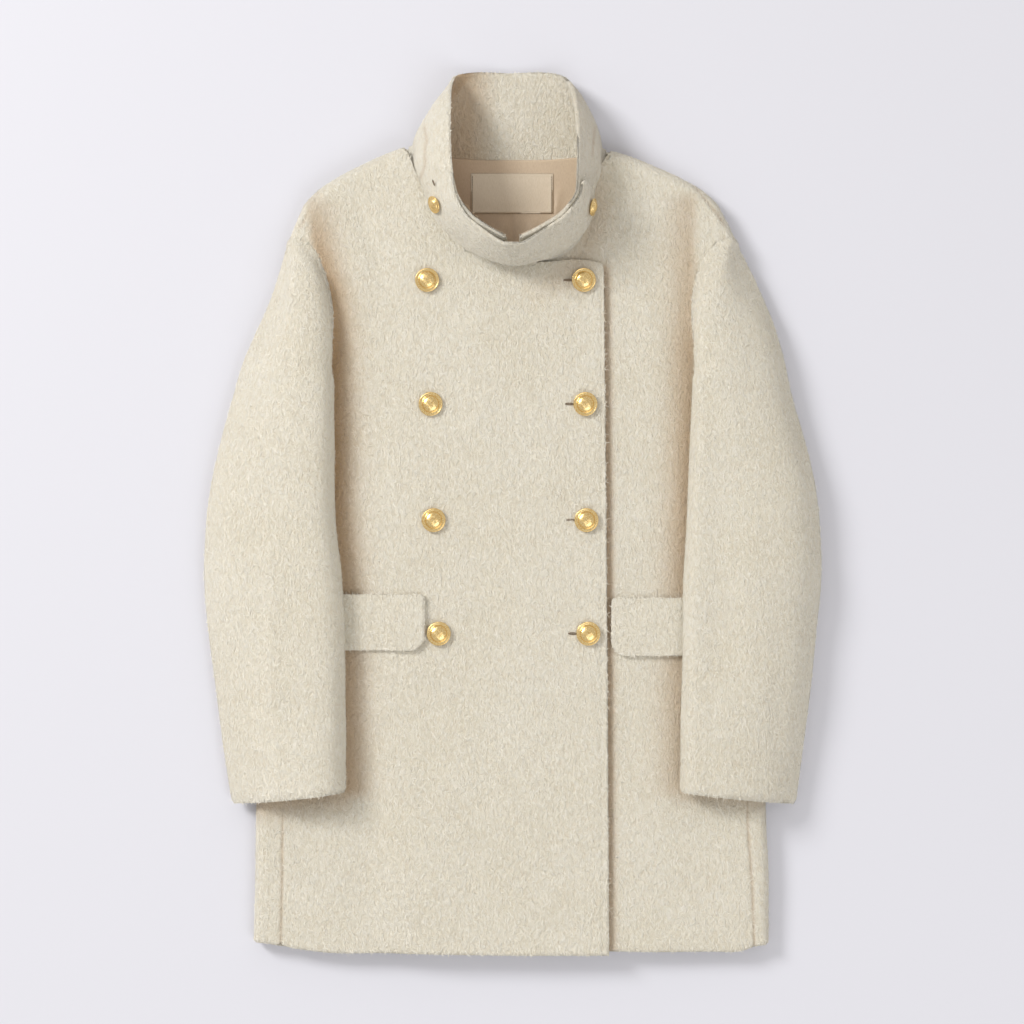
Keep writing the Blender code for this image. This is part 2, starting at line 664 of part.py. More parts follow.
def tab_point(position, s, lift):
    """position runs from -1, the tab's right end, to +1, its left end."""
    side = "right" if position < 0 else "left"
    end = TAB_ENDS[0] if side == "right" else TAB_ENDS[1]
    t = 1 - abs(position) * (1 - end)
    low = 1 - (s - TAB_HEIGHTS[0]) / (TAB_HEIGHTS[1] - TAB_HEIGHTS[0])
    bulge = TAB_BULGE * low * math.cos(position * math.pi / 2)
    normal = collar_normal(side, min(t, 0.985), min(max(s, 0.03), 0.97))
    if abs(position) < 0.08:
        mirror = collar_normal("left" if side == "right" else "right", 0.985,
                               min(max(s, 0.03), 0.97))
        normal = normal + mirror * (1 - abs(position) / 0.08)
        normal /= np.linalg.norm(normal)
    clear = TAB_CLEAR * max(0.0, 1 - abs(position) / 0.4)
    return collar_point(side, t, s) + normal * (lift + bulge + clear)


def build_tab(mat, collection):
    middle = (TAB_HEIGHTS[0] + TAB_HEIGHTS[1]) / 2
    half = (TAB_HEIGHTS[1] - TAB_HEIGHTS[0]) / 2
    columns = [-1, -.985, -.94, -.86, -.75, -.6, -.45, -.3, -.17, -.07,
               .07, .17, .3, .45, .6, .75, .86, .94, .985, 1]
    rows = []
    for level in (-1, -0.5, 0, 0.5, 1):
        row = []
        for position in columns:
            end = max(0.0, (abs(position) - 0.86) / 0.14)
            rounding = math.sqrt(max(0.0, 1 - (end * 0.93) ** 2))
            row.append(tab_point(position, middle + level * half * rounding,
                                 LAYER_GAP + TAB))
        rows.append(row)
    return cloth_sheet("throat_tab", np.array(rows), TAB, mat, collection)


# ------------------------------------------------------- flaps, lining, label
def build_flap(name, mat, collection):
    (x0, x1), (y0, y1) = FLAPS[name]
    ys = [y0, y0 + 1.2, y0 + 4, y0 + 8.5, y0 + FLAP_CORNER,
          (y0 + y1) / 2, y1 - 2, y1]
    rows = []
    for y in ys:
        low = max(0.0, FLAP_CORNER - (y - y0))
        inset = FLAP_CORNER - math.sqrt(max(FLAP_CORNER ** 2 - low ** 2, 0))
        inset = max(inset, 2.5 - (y1 - y) if y > y1 - 2.5 else 0.0)
        row = []
        for x in np.linspace(x0 + inset, x1 - inset, 13):
            point = front_surface(x, y, name == "flap_right")
            point[2] += LAYER_GAP + FLAP
            row.append(point)
        rows.append(row)
    return cloth_sheet(name, np.array(rows), FLAP, mat, collection)


def inside_back(x, y, rise):
    point = laid(x, y, -1)
    point[2] += CLOTH + rise
    return point


def build_neck_lining(mat, collection):
    rise = LAYER_GAP + LINING
    top = spread([(x, y - 1.5) for x, y in BACK_NECK if abs(x) < 90], 9)
    low = spread([(-84, LINING_EDGE_Y), (0, LINING_EDGE_Y - 3), (84, LINING_EDGE_Y)], 9)
    right = spread([low[0], top[0]], 7)
    left = spread([low[-1], top[-1]], 7)
    grid = patch(right, left, low, top)
    placed = np.array([[inside_back(x, y, rise) for x, y in row] for row in grid])
    return cloth_sheet("neck_lining", placed, LINING, mat, collection)


def build_label(mat, collection):
    width, height = LABEL_SIZE
    rise = 2 * LAYER_GAP + LINING + LABEL
    xs = np.linspace(LABEL_AT[0] - width / 2, LABEL_AT[0] + width / 2, 5)
    ys = np.linspace(LABEL_AT[1] - height / 2, LABEL_AT[1] + height / 2, 3)
    placed = np.array([[inside_back(x, y, rise) for x in xs] for y in ys])
    return cloth_sheet("neck_label", placed, LABEL, mat, collection)


# -------------------------------------------------------------------- buttons
def button_mesh(mat):
    """Domed metal button: a flat rim, a step and a dome, turned about Z."""
    radius, height = BUTTON_RADIUS * MM, BUTTON_HEIGHT * MM
    profile = [(0.0, height), (0.26 * radius, 0.965 * height),
               (0.50 * radius, 0.84 * height), (0.66 * radius, 0.62 * height),
               (0.72 * radius, 0.46 * height), (0.93 * radius, 0.44 * height),
               (radius, 0.34 * height), (0.97 * radius, 0.16 * height),
               (0.80 * radius, 0.0), (0.0, 0.0)]
    mesh = bpy.data.meshes.new("button")
    mesh.from_pydata([(x, 0, z) for x, z in profile], [],
                     [(k, k + 1) for k in range(len(profile) - 1)])
    mesh.materials.append(mat)
    return mesh


def place_button(name, mesh, place, normal, scale, mat, collection):
    item = bpy.data.objects.new(name, mesh)
    collection.objects.link(item)
    item.location = Vector(place) * MM
    item.rotation_euler = Vector(normal).to_track_quat("Z", "Y").to_euler()
    item.scale = (scale, scale, scale)
    turn = item.modifiers.new("turn", "SCREW")
    turn.axis = "Z"
    turn.steps = turn.render_steps = 14
    turn.use_merge_vertices = True
    turn.merge_threshold = 0.00005
    turn.use_smooth_shade = True
    turn.use_normal_flip = True
    return item


def build_buttons(mat, collection):
    mesh = button_mesh(mat)
    for row, y in enumerate(BUTTON_ROWS_Y):
        for name, xs in BUTTON_X.items():
            x = xs[row]
            place = front_surface(x, y, True)
            place[2] += LAYER_GAP
            place_button(f"{name}_{row + 1}", mesh, place, (0, 0, 1), 1.0, mat, collection)
    for name, side, t in (("tab_button_right", "right", TAB_BUTTON_AT[0]),
                          ("tab_button_left", "left", TAB_BUTTON_AT[1])):
        end = TAB_ENDS[0] if side == "right" else TAB_ENDS[1]
        position = (1 - t) / (1 - end) * (-1 if side == "right" else 1)
        place = tab_point(position, TAB_BUTTON_HEIGHT, LAYER_GAP + TAB + TAB_BUTTON_GAP)
        normal = collar_normal(side, t, TAB_BUTTON_HEIGHT)
        place_button(name, mesh, place, normal, TAB_BUTTON_SCALE, mat, collection)


def main():
    clear_scene()
    coat = bpy.data.collections.new("wool_coat")
    bpy.context.scene.collection.children.link(coat)
    wool = material("boucle_wool", (0.72, 0.66, 0.53), 0.95)
    satin = material("satin_lining", (0.50, 0.42, 0.33), 0.45)
    ribbon = material("label_satin", (0.62, 0.53, 0.42), 0.5)
    brass = material("gilt_brass", (0.86, 0.62, 0.26), 0.28, 1.0)

    build_back(wool, coat)
    build_left_front(wool, coat)
    build_right_front(wool, coat)
    build_sleeve("right", "sleeve_right", wool, coat)
    build_sleeve("left", "sleeve_left", wool, coat)
    build_collar(wool, coat)
    build_tab(wool, coat)
    for flap in FLAPS:
        build_flap(flap, wool, coat)
    build_neck_lining(satin, coat)
    build_label(ribbon, coat)
    build_buttons(brass, coat)


main()
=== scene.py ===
"""The coat, dressed in brushed boucle wool, satin and gilt brass, in its room.

Its form is the part's: +Y runs from the hem to the collar, +X points to the
viewer's right, and "right" and "left" are the wearer's.  Sizes below are
millimetres and become metres where the meshes are made.
"""

import bisect
import math

import bpy
import numpy as np
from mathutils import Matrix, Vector

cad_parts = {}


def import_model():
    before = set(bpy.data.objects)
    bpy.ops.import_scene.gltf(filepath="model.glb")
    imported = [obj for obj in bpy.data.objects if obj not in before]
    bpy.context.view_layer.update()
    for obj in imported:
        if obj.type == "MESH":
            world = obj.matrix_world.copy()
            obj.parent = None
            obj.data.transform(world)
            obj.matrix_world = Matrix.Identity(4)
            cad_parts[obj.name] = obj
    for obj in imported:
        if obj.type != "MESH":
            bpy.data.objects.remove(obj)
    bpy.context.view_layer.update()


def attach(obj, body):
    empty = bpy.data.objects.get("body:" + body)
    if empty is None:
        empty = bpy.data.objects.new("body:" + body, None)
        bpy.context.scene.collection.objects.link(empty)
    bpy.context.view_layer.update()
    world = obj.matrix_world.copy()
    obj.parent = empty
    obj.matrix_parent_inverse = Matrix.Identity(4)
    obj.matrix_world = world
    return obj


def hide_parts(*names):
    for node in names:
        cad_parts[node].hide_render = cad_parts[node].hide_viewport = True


MM = 0.001

# ---------------------------------------------------------------- sizes, mm
CLOTH = 4.0            # lined boucle wool, one layer
SEAM_GAP = 0.02        # between pieces that meet at a seam
LAYER_GAP = 0.5        # between layers that lie on each other
CROWN = 3.0            # the fronts rise this much at the middle
LINING = 1.2
LABEL = 0.8
FLAP = 4.0
TAB = 3.6

UNDER_EDGE_X = -86.0   # hidden edge of the left front, under the right one
LAP_RAMP = (-155.0, -91.0)   # where the right front climbs onto the left one

BUTTON_RADIUS = 12.0
BUTTON_HEIGHT = 7.0
TAB_BUTTON_SCALE = 0.74

UNDERARM_Y = 121.0

# The body as it lies: its two side folds and its height.
TORSO = {
    "y":      (-443, -370, -300, -200, -100, 0, 60, 121, 200, 300, 370),
    "right":  (-260, -258, -257, -253, -249, -245, -243, -240, -240, -240, -240),
    "left":   (257, 257, 254, 253, 251, 249, 246, 243, 243, 243, 243),
    "height": (19, 21, 23, 25, 26, 27, 27, 26, 25, 24, 24),
}

# How far each side seam lies from the body's side, measured along the cloth
# from the fold's middle (0) up onto the front.
SIDE_SEAM = {
    "y":     (-443, -290, -100, 121),
    "right": (33, 34, 14, 0),
    "left":  (20, 26, 12, 0),
}

# The front and back pieces' edges, flattened out.  The armholes are cut
# deeper into the fronts than into the back, and their tops cross the fold.
ARMHOLES = {
    ("right", 1): ((-236, 123), (-219, 127), (-202, 134), (-188, 149), (-181, 175),
                   (-182, 205), (-188, 235), (-196, 258), (-203, 271)),
    ("left", 1): ((238, 123), (221, 127), (203, 134), (189, 149), (182, 175),
                  (181, 205), (185, 235), (194, 258), (203, 271)),
    ("right", -1): ((-236, 138), (-222, 165), (-213, 205), (-208, 245), (-203, 271)),
    ("left", -1): ((238, 138), (224, 165), (215, 205), (209, 245), (203, 271)),
}
RIGHT_SHOULDER = ((-224, 273), (-109.5, 367))
LEFT_SHOULDER = ((224, 273), (99.5, 364))
SHOULDER_CURVE = {     # how far the shoulders bow out between their ends
    "y":   (0, .13, .26, .37, .50, .78, 1),
    "bow": (0, 10.5, 19.0, 20.5, 18.5, 9.5, 0),
}
BACK_NECK = ((-109.5, 367), (-76, 360), (-40, 356.5), (0, 356),
             (38, 356.5), (70, 359), (99.5, 364))
RIGHT_NECK = ((-109.5, 367), (-101, 345), (-91, 320), (-79, 291),
              (-60, 269), (-30, 255), (2.5, 249))
LEFT_NECK = ((99.5, 364), (90, 345), (82, 325), (77, 298),
             (62, 268), (34, 252), (2.5, 247))
RIGHT_LAP_TOP = ((2.5, 249), (30, 250), (82, 250.5), (89, 248), (91, 242))
RIGHT_EDGE = ((96.5, -442), (95, -200), (93.5, 0), (91, 242))
LEFT_LAP_TOP = ((2.5, 247), (-40, 247), (UNDER_EDGE_X, 246))
HEM = ((-262, -428), (-208, -436), (-116, -440), (5, -442), (96.5, -442),
       (168, -439), (222, -436), (258, -431))

# Sleeves, a row for each section across: outer fold, inner fold where the
# sleeve lies on the front, the ridge along its top, and its heights there
# and near the outer fold.
SLEEVE_Y = (275, 262, 240, 215, 184, 150, 118, 63, 0, -60, -110, -170, -230, -284.6)
SLEEVE_RIDGE_Z = (25, 31, 41, 46, 48, 50, 51, 52, 52, 52, 51.5, 51, 50.5, 50)
RIGHT_SLEEVE = {
    "y": SLEEVE_Y,
    "outer":   (-224, -227.5, -234, -242, -255.5, -270.5, -279.5, -294.5, -306,
                -309, -305.5, -297.5, -289.5, -281),
    "inner":   (-203, -197.5, -190, -184, -180, -178, -177, -177, -176.5, -170,
                -167, -166, -165.5, -165),
    "ridge":   (-210, -213, -217, -220, -224, -228, -232, -238, -241, -242,
                -241, -239, -238, -236),
    "ridge_z": SLEEVE_RIDGE_Z,
    "outer_z": (22, 24, 27, 28, 29, 30, 30, 31, 31, 31, 30, 29, 28, 26),
}
LEFT_SLEEVE = {
    "y": SLEEVE_Y,
    "outer":   (224, 229, 240, 251, 264, 273, 279.5, 295.5, 307, 309.5, 305,
                299, 291, 284),
    "inner":   (203, 195, 187, 182, 180.5, 178.5, 178, 176, 173.5, 170, 169,
                168.5, 167, 166),
    "ridge":   (210, 211, 210, 208, 206, 205, 205, 204, 203, 202, 201, 200,
                199, 198),
    "ridge_z": SLEEVE_RIDGE_Z,
    "outer_z": (22, 24, 27, 28, 30, 31, 32, 33, 33, 33, 32, 31, 29, 26),
}
SLEEVES = {"right": RIGHT_SLEEVE, "left": LEFT_SLEEVE}
SHOULDERS = {"right": RIGHT_SHOULDER, "left": LEFT_SHOULDER}
SIGN = {"right": -1, "left": 1}      # of x on each side
SLEEVE_ON_BODY = {     # clearance under the sleeve, more over the pocket flap
    "y":   (312, 0, -45, -72, -148, -175, -285),
    "gap": (1.6, 1.6, 1.8, 6.1, 6.1, 1.8, 1.6),
}
CUFF_SLANT = 0.12      # the cuff's outer end is this much lower, per unit
CUFF_SLANT_FROM_Y = -60.0

# The collar, from its middle back (0) round to its front end (1): its base
# at the neck seam, its middle and its top edge.
COLLAR_T = (0, .15, .27, .37, .46, .58, .70, .80, .90, 1.0)
COLLAR_RIGHT = {
    "base": ((-2, 356.5, 0.3), (-42, 357.2, 0.3), (-76, 361, 0.6),
             (-101, 366, 6), (-100.5, 347, 24), (-90.5, 321, 27),
             (-77.5, 292, 28.5), (-57, 270, 29.5), (-28, 256, 31),
             (1, 250, 32)),
    "mid":  ((-2, 400, 0.6), (-38, 401, 1), (-70, 405, 7), (-89, 392, 26),
             (-88, 365, 46), (-81, 333, 54), (-70, 303, 57), (-50, 281, 59),
             (-26, 267, 60), (-3, 261, 60)),
    "top":  ((-3, 442, 3), (-32, 443, 5), (-57, 439, 16), (-62, 420, 42),
             (-62, 388, 60), (-61, 350, 73), (-56, 316, 80), (-42, 293, 83),
             (-25, 280, 84), (-8, 270, 84)),
}
COLLAR_LEFT = {
    "base": ((-2, 356.5, 0.3), (38, 357.2, 0.3), (68, 360, 0.6),
             (91, 363.5, 6), (88.5, 346, 24), (80.5, 325, 27),
             (75.5, 298, 28.5), (61, 269.5, 29.5), (33, 255, 30.5),
             (4, 252.5, 31)),
    "mid":  ((-2, 400, 0.6), (38, 401, 1), (64, 405, 7), (82, 392, 26),
             (82, 366, 46), (76, 335, 54), (73, 303, 57), (58, 281, 59),
             (32, 266, 60), (6, 260, 60)),
    "top":  ((-3, 442, 3), (27, 443, 5), (51, 439, 16), (60, 420, 42),
             (64, 388, 60), (66, 352, 73), (65, 320, 80), (50, 296, 83),
             (28, 281, 84), (8, 270, 84)),
}
COLLAR_INSIDE_NECK = 0.4      # the collar stands this far inside the fronts' edge
NECK_MIDDLE_Y = 310.0
TAB_ENDS = (0.60, 0.64)       # along the collar, right and left of the front
TAB_HEIGHTS = (0.24, 0.97)    # up the collar
TAB_BULGE = 5.0               # the tab's lower edge stands off at the front
TAB_CLEAR = 3.2               # more room over the collar's ends
TAB_BUTTON_AT = (0.685, 0.70)
TAB_BUTTON_HEIGHT = 0.50
TAB_BUTTON_GAP = 0.5          # under the middle of a button on the curved tab

FLAPS = {             # pocket flaps: x range, y range on the fronts
    "flap_right": ((-222.0, -87.0), (-137.0, -81.0)),
    "flap_left": ((98.5, 233.0), (-142.5, -84.5)),
}
FLAP_CORNER = 15.0
SLEEVE_HEM_Y = -284.6
UNDER_LAP_X = 78              # the left front carries no nap further under the lap

BUTTON_ROWS_Y = (232.0, 108.5, -7.0, -120.0)
BUTTON_X = {"button_right": (-85.0, -81.5, -78.5, -73.5),
            "button_left": (71.0, 72.5, 73.5, 75.5)}

LINING_EDGE_Y = 205.0

# How the body's pieces are divided: shares of each edge's length.
SIDE_ROWS = (0, .03, .10, .18, .26, .34, .42, .50, .58, .66, .74, .82, .90, .96, 1)
ARMHOLE_ROWS = (0, .09, .19, .32, .46, .60, .74, .87, 1)
TIP_ROWS = (0, .25, .5, .75, .97, 1)
TOP_PULL = 9           # how soon the top's shape fades inside a piece
SIDE_PULL = 4          # and its sides' shapes
FRONT_COLUMNS = (0, .03, .12, .22, .31, .40, .49, .57, .65, .73, .81, .87, .91,
                 .945, .975, .996, 1)
NECK_COLUMNS = (0, .035, .145, .265, .375, .475, .575, .675, .78, .89, 1)
SHOULDER_COLUMNS = (0, .25, .50, .72, .88, .985, 1)
SLEEVE_HEAD_ROWS = (259, 248, 236, 222, 205, 185, 168, 156, 147, 139, 132, 127, 123)
HEAD_GAP = 0.9
UNDER_STOPS = (0, .08, .16, .25, .55, .83, .93, 1)
BOTTOM_STOPS = (0, .18, .5, .78, .90, 1)
BACK_SHOULDER_COLUMNS = (0, .015, .07, .16, .28, .42, .60, .80, 1)
BACK_SHOULDER_COLUMNS_LEFT = tuple(1 - v for v in BACK_SHOULDER_COLUMNS[::-1])
BACK_COLUMNS = (0, .002, .014, .028, .042, .056, .070, .084, .10, .15, .22, .30, .38,
                .46, .54, .62, .70, .78, .85, .90, .916, .930, .944, .958, .972,
                .986, .998, 1)
LABEL_SIZE = (82.0, 40.0)
LABEL_AT = (-0.5, 321.0)


def finer(stops, factor):
    """The same stops with more between them."""
    stops = np.array(stops, float)
    steps = np.linspace(0, 1, factor, endpoint=False)
    inner = [a + (b - a) * steps for a, b in zip(stops[:-1], stops[1:])]
    return np.append(np.concatenate(inner), stops[-1])


# How finely the dressed pieces are divided.
SIDE_ROWS = finer(SIDE_ROWS, 9)
ARMHOLE_ROWS = finer(ARMHOLE_ROWS, 5)
TIP_ROWS = finer(TIP_ROWS, 3)
FRONT_COLUMNS = finer(FRONT_COLUMNS, 8)
NECK_COLUMNS = finer(NECK_COLUMNS, 8)
SHOULDER_COLUMNS = finer(SHOULDER_COLUMNS, 8)
BACK_COLUMNS = finer(BACK_COLUMNS, 4)
BACK_SHOULDER_COLUMNS = finer(BACK_SHOULDER_COLUMNS, 4)
BACK_SHOULDER_COLUMNS_LEFT = finer(BACK_SHOULDER_COLUMNS_LEFT, 4)
BACK_NECK_COLUMNS = 11 * 4 + 1
UNDER_STOPS = finer(UNDER_STOPS, 4)
BOTTOM_STOPS = finer(BOTTOM_STOPS, 5)
SLEEVE_TOP_STEPS = 8 * 7 + 1
SLEEVE_ROW_STEPS = 6
CURVE_STEPS = 12

# Colours are linear, as the shaders take them.
# WOOL_HOLLOW_SHADE is painted shade: the wool's colour in the hollows between its curled clumps.
WOOL_HOLLOW_SHADE = (0.86, 0.785, 0.64)
WOOL_MID = (0.905, 0.85, 0.715)
WOOL_LIGHT = (0.945, 0.905, 0.80)
WOOL_TIP = (0.965, 0.935, 0.85)
GILT_DEEP = (0.80, 0.53, 0.20)
GILT_LIGHT = (0.96, 0.75, 0.38)
SHADE_TINT = (0.57, 0.375, 0.205)
COLLAR_SHADE = 0.8        # strengths of the painted shade, 0 to 1
NECK_SHADE = 0.30
SEAM_SHADE = 0.35
LINING_SHADE = 0.35
HEM_DROP = 4.0
SEAM_TUCK = 3.5           # the sleeve's edge goes in under the armhole's
NECK_OVERLAP = 3.0        # the fronts' neck edges reach in under the collar
NECK_FLANGE = 3.0         # the collar's foot spreads to meet the fronts
SPARE_SLIT = (0.62, 0.62)
CREASE_SINK = 2.5         # how far a fully shaded crease dips
WOOL_BUMP = 1.0
NAP_DENSITY = 10.5         # locks on a square centimetre
NAP_LIES = (0.15, -1.0, 0.0)      # brushed toward the hem
NAP_STRAY = 0.55
NAP_CURL = 0.32
NAP_HALF_WIDTH = (0.16, 0.34)
NAP_SECTIONS = ((0.0, -0.35, 0.6), (0.45, 1.0, 1.0), (1.0, 0.5, 0.3))   # along, rise, width
FLOOR_COLOUR = (0.730, 0.734, 0.799)
FLOOR_REACH = 6.0          # metres, as the floor's level and the camera's height are
FLOOR_Z = -0.0004
CAMERA_HEIGHT = 3.0
WORLD_LIGHT = 0.62
LIGHTS = (
    ("key", (-3.3, 2.3, 2.85), 1.6, 154.0, (1.0, 0.99, 0.97)),
    ("fill", (1.2, -2.0, 2.7), 2.4, 26.0, (0.96, 0.98, 1.0)),
)

# Soft folds: where each runs from and to, its half width, its height (a
# trough's is negative) and how far its middle bends aside.
FOLD_COLUMNS = ("x0", "y0", "x1", "y1", "width", "height", "bend")
FRONT_FOLDS = (
    (-170, 330, -125, 205, 10, -2.8, 5),
    (-150, 300, -150, 180, 16, 2.4, 0),
    (-205, 250, -150, 235, 9, 1.9, 0),
    (130, 320, 160, 180, 12, -1.3, -6),
    (175, 180, 160, -120, 14, 1.6, 0),
    (-168, 150, -163, -110, 13, 1.4, 0),
    (-40, 235, -30, -60, 26, 1.5, 8),
    (-120, 60, -105, -240, 24, 1.3, -8),
    (20, 120, 10, -330, 30, 1.2, 10),
    (-190, -160, -175, -420, 18, 1.5, 0),
    (-130, -180, -140, -430, 14, -1.2, 0),
    (-60, -160, -75, -430, 22, 1.3, 5),
    (150, -170, 140, -430, 18, 1.2, 0),
    (200, -160, 195, -420, 16, -1.1, 0),
    (-95, 330, -60, 275, 7, -1.1, 0),
    (88, 320, 70, 270, 7, -1.0, 0),
)
SLEEVE_FOLDS = {
    "right": (
        (-230, 240, -270, 120, 14, -1.4, 6),
        (-205, 200, -225, 60, 12, 1.4, 0),
        (-275, 40, -215, 0, 12, -1.1, 0),
        (-290, -30, -220, -60, 14, 1.1, 0),
        (-245, 60, -240, -250, 16, 1.6, 8),
        (-270, -100, -262, -270, 12, -1.2, 0),
        (-243, -20, -231, -300, 8, 2.0, 0),
    ),
    "left": (
        (205, 250, 255, 130, 13, -1.3, -6),
        (200, 180, 225, 40, 13, 1.5, 0),
        (285, 30, 215, -10, 12, -1.1, 0),
        (290, -50, 215, -70, 14, 1.1, 0),
        (245, 60, 240, -250, 18, 1.6, -8),
        (268, -100, 262, -270, 12, -1.2, 0),
    ),
}
LINING_FOLDS = (
    (-40, 345, -30, 296, 5, 1.2, 0),
    (-8, 298, -14, 270, 5, 1.2, 0),
    (22, 298, 18, 268, 6, 1.4, 0),
    (48, 330, 40, 285, 4, 0.9, 0),
    (-48, 300, -28, 275, 4, 0.9, 0),
)

# Warm shade beside the sleeves: x, y and strength down each crease.
FRONT_SHADES = (
    {"line": ((-203, 322, 0), (-200.5, 308, .35), (-197, 285, .55), (-194, 262, .7),
              (-184, 222, .85), (-180, 184, .9), (-178, 120, .9), (-177, 13, .9),
              (-168, -77, .75), (-165, -277, .7), (-165, -292, 0)), "width": 21, "side": 1},
    {"line": ((180, 322, 0), (178, 312, .35), (177, 280, .42), (177, 262, .42), (178, 215, .5),
              (178, 162, .62), (175, 28, .65), (171, -47, .6), (168, -142, .5),
              (167, -277, .4), (167, -290, 0)), "width": 22, "side": -1},
)
LAP_SHADES = (
    {"line": ((90, 252, 0), (92, 243, .6), (95, -87, .75), (97, -438, .6)), "width": 6, "side": 1},
)
CUFF_SHADES = (
    {"from": (-281, -291.5), "to": (-165, -277.5), "strength": 0.55, "reach": 17},
    {"from": (166, -278), "to": (285, -290), "strength": 0.35, "reach": 13},
)
SHOULDER_SEAMS = (
    ((-194, 323), (-201, 308), (-207, 294), (-212, 286)),
    ((184, 325), (196, 309), (206, 297), (212, 288)),
)
COLLAR_SEAMS = (
    ((-88, 384), (-85.5, 370), (-88, 356), (-87, 347), (-92, 333)),
    ((82, 384), (81, 368), (80, 353)),
)


CURVES = {}


def curve_of(table, column):
    """A table's column as rising places, values and slopes."""
    key = id(table), column
    if key not in CURVES:
        pairs = sorted(zip(map(float, table["y"]), map(float, table[column])))
        ys, vs = [p[0] for p in pairs], [p[1] for p in pairs]
        slopes = [(b - a) / (d - c) for a, b, c, d in zip(vs, vs[1:], ys, ys[1:])]
        tangents = [slopes[0]]
        for a, b in zip(slopes, slopes[1:]):
            tangents.append(2 * a * b / (a + b) if a * b > 0 else 0.0)
        CURVES[key] = ys, vs, tangents + [slopes[-1]]
    return CURVES[key]


def smooth_lookup(table, column, y):
    """Value of a table's column at y, on a curve with no overshoot."""
    ys, vs, tangents = curve_of(table, column)
    y = min(max(float(y), ys[0]), ys[-1])
    k = min(max(bisect.bisect_left(ys, y) - 1, 0), len(ys) - 2)
    span = ys[k + 1] - ys[k]
    t = (y - ys[k]) / span
    return (vs[k] * (2 * t**3 - 3 * t**2 + 1)
            + span * tangents[k] * (t**3 - 2 * t**2 + t)
            + vs[k + 1] * (3 * t**2 - 2 * t**3)
            + span * tangents[k + 1] * (t**3 - t**2))


def smooth_rows(rows, gaps, factor):
    """Smooth curves through the rows, whose spacing is given: factor steps in each gap."""
    slopes = [(b - a) / gap for a, b, gap in zip(rows, rows[1:], gaps)]
    tangents = [slopes[0]]
    for k in range(1, len(rows) - 1):
        tangents.append((slopes[k - 1] * gaps[k] + slopes[k] * gaps[k - 1])
                        / (gaps[k - 1] + gaps[k]))
    tangents.append(slopes[-1])
    out = []
    for k, gap in enumerate(gaps):
        for t in np.linspace(0, 1, factor, endpoint=False):
            out.append(rows[k] * (2 * t**3 - 3 * t**2 + 1)
                       + gap * tangents[k] * (t**3 - 2 * t**2 + t)
                       + rows[k + 1] * (3 * t**2 - 2 * t**3)
                       + gap * tangents[k + 1] * (t**3 - t**2))
    return np.array(out + [rows[-1]])


def smooth_step(low, high, value):
    t = min(max((value - low) / (high - low), 0.0), 1.0)
    return t * t * (3 - 2 * t)


def spread(points, stops):
    """Points along a smooth curve through the given ones: a number of them,
    evenly, or at the given shares of its length."""
    pts = np.array([tuple(p) for p in points], float)
    gaps = np.linalg.norm(np.diff(pts, axis=0), axis=1)
    fine = smooth_rows(pts, gaps, CURVE_STEPS)
    run = np.concatenate(([0], np.cumsum(np.linalg.norm(np.diff(fine, axis=0), axis=1))))
    if isinstance(stops, int):
        stops = np.linspace(0, 1, stops)
    at = np.array(stops) * run[-1]
    return np.stack([np.interp(at, run, fine[:, k]) for k in range(fine.shape[1])], 1)


def joined(*runs, stops):
    """Runs of points end to end, each spread with its own stops."""
    parts = [spread(run, at) for run, at in zip(runs, stops)]
    return np.concatenate([parts[0]] + [part[1:] for part in parts[1:]])


def shares(edge):
    """Share of the edge's length at each of its points."""
    steps = np.linalg.norm(np.diff(edge, axis=0), axis=1)
    run = np.concatenate(([0], np.cumsum(steps)))
    return run / run[-1]


def patch(start_edge, end_edge, low_edge, top_edge, both_sides=False):
    """Grid of flat points inside four edges; rows run from low to top.  Each
    edge's own shape fades inside the piece."""
    along, upward = shares(low_edge), shares(end_edge)

    def off_line(edge, share):
        return np.array([p - edge[0] * (1 - k) - edge[-1] * k for p, k in zip(edge, share)])

    start, end = off_line(start_edge, upward), off_line(end_edge, upward)
    low, top = off_line(low_edge, along), off_line(top_edge, along)
    grid = np.zeros((len(upward), len(along), 2))
    for j, v in enumerate(upward):
        for i, s in enumerate(along):
            flat = ((1 - v) * ((1 - s) * low_edge[0] + s * low_edge[-1])
                    + v * ((1 - s) * top_edge[0] + s * top_edge[-1]))
            pull = 1 + TOP_PULL * (max(s, 1 - s) if both_sides else s) ** 8
            grid[j, i] = (flat + (1 - s) ** SIDE_PULL * start[j] + s ** SIDE_PULL * end[j]
                          + (1 - v) ** pull * low[i] + v ** pull * top[i])
    return grid


def side_name(x):
    return "right" if x < 0 else "left"


def half_width(x, y):
    return abs(smooth_lookup(TORSO, side_name(x), y))


def body_height(y):
    return smooth_lookup(TORSO, "height", y)


def crown(x, y):
    flat = half_width(x, y) - body_height(y) / 2
    return CROWN * max(0.0, 1 - (x / flat) ** 2)


def shoulder_frame(line):
    tip, neck = line[0], line[-1]
    long = math.dist(tip, neck)
    along = ((neck[0] - tip[0]) / long, (neck[1] - tip[1]) / long)
    outward = (-along[1], along[0]) if along[0] > 0 else (along[1], -along[0])
    return tip, long, along, outward


SHOULDER_FRAMES = {side: shoulder_frame(line) for side, line in SHOULDERS.items()}


def past_shoulder(x, y):
    """How far (x, y) lies past the shoulder fold's start, and the way out."""
    tip, long, along, outward = SHOULDER_FRAMES[side_name(x)]
    radius = body_height(y) / 2
    dx, dy = x - tip[0], y - tip[1]
    share = min(max((dx * along[0] + dy * along[1]) / long, 0.0), 1.0)
    away = dx * outward[0] + dy * outward[1] - smooth_lookup(SHOULDER_CURVE, "bow", share)
    return away + radius, outward, radius


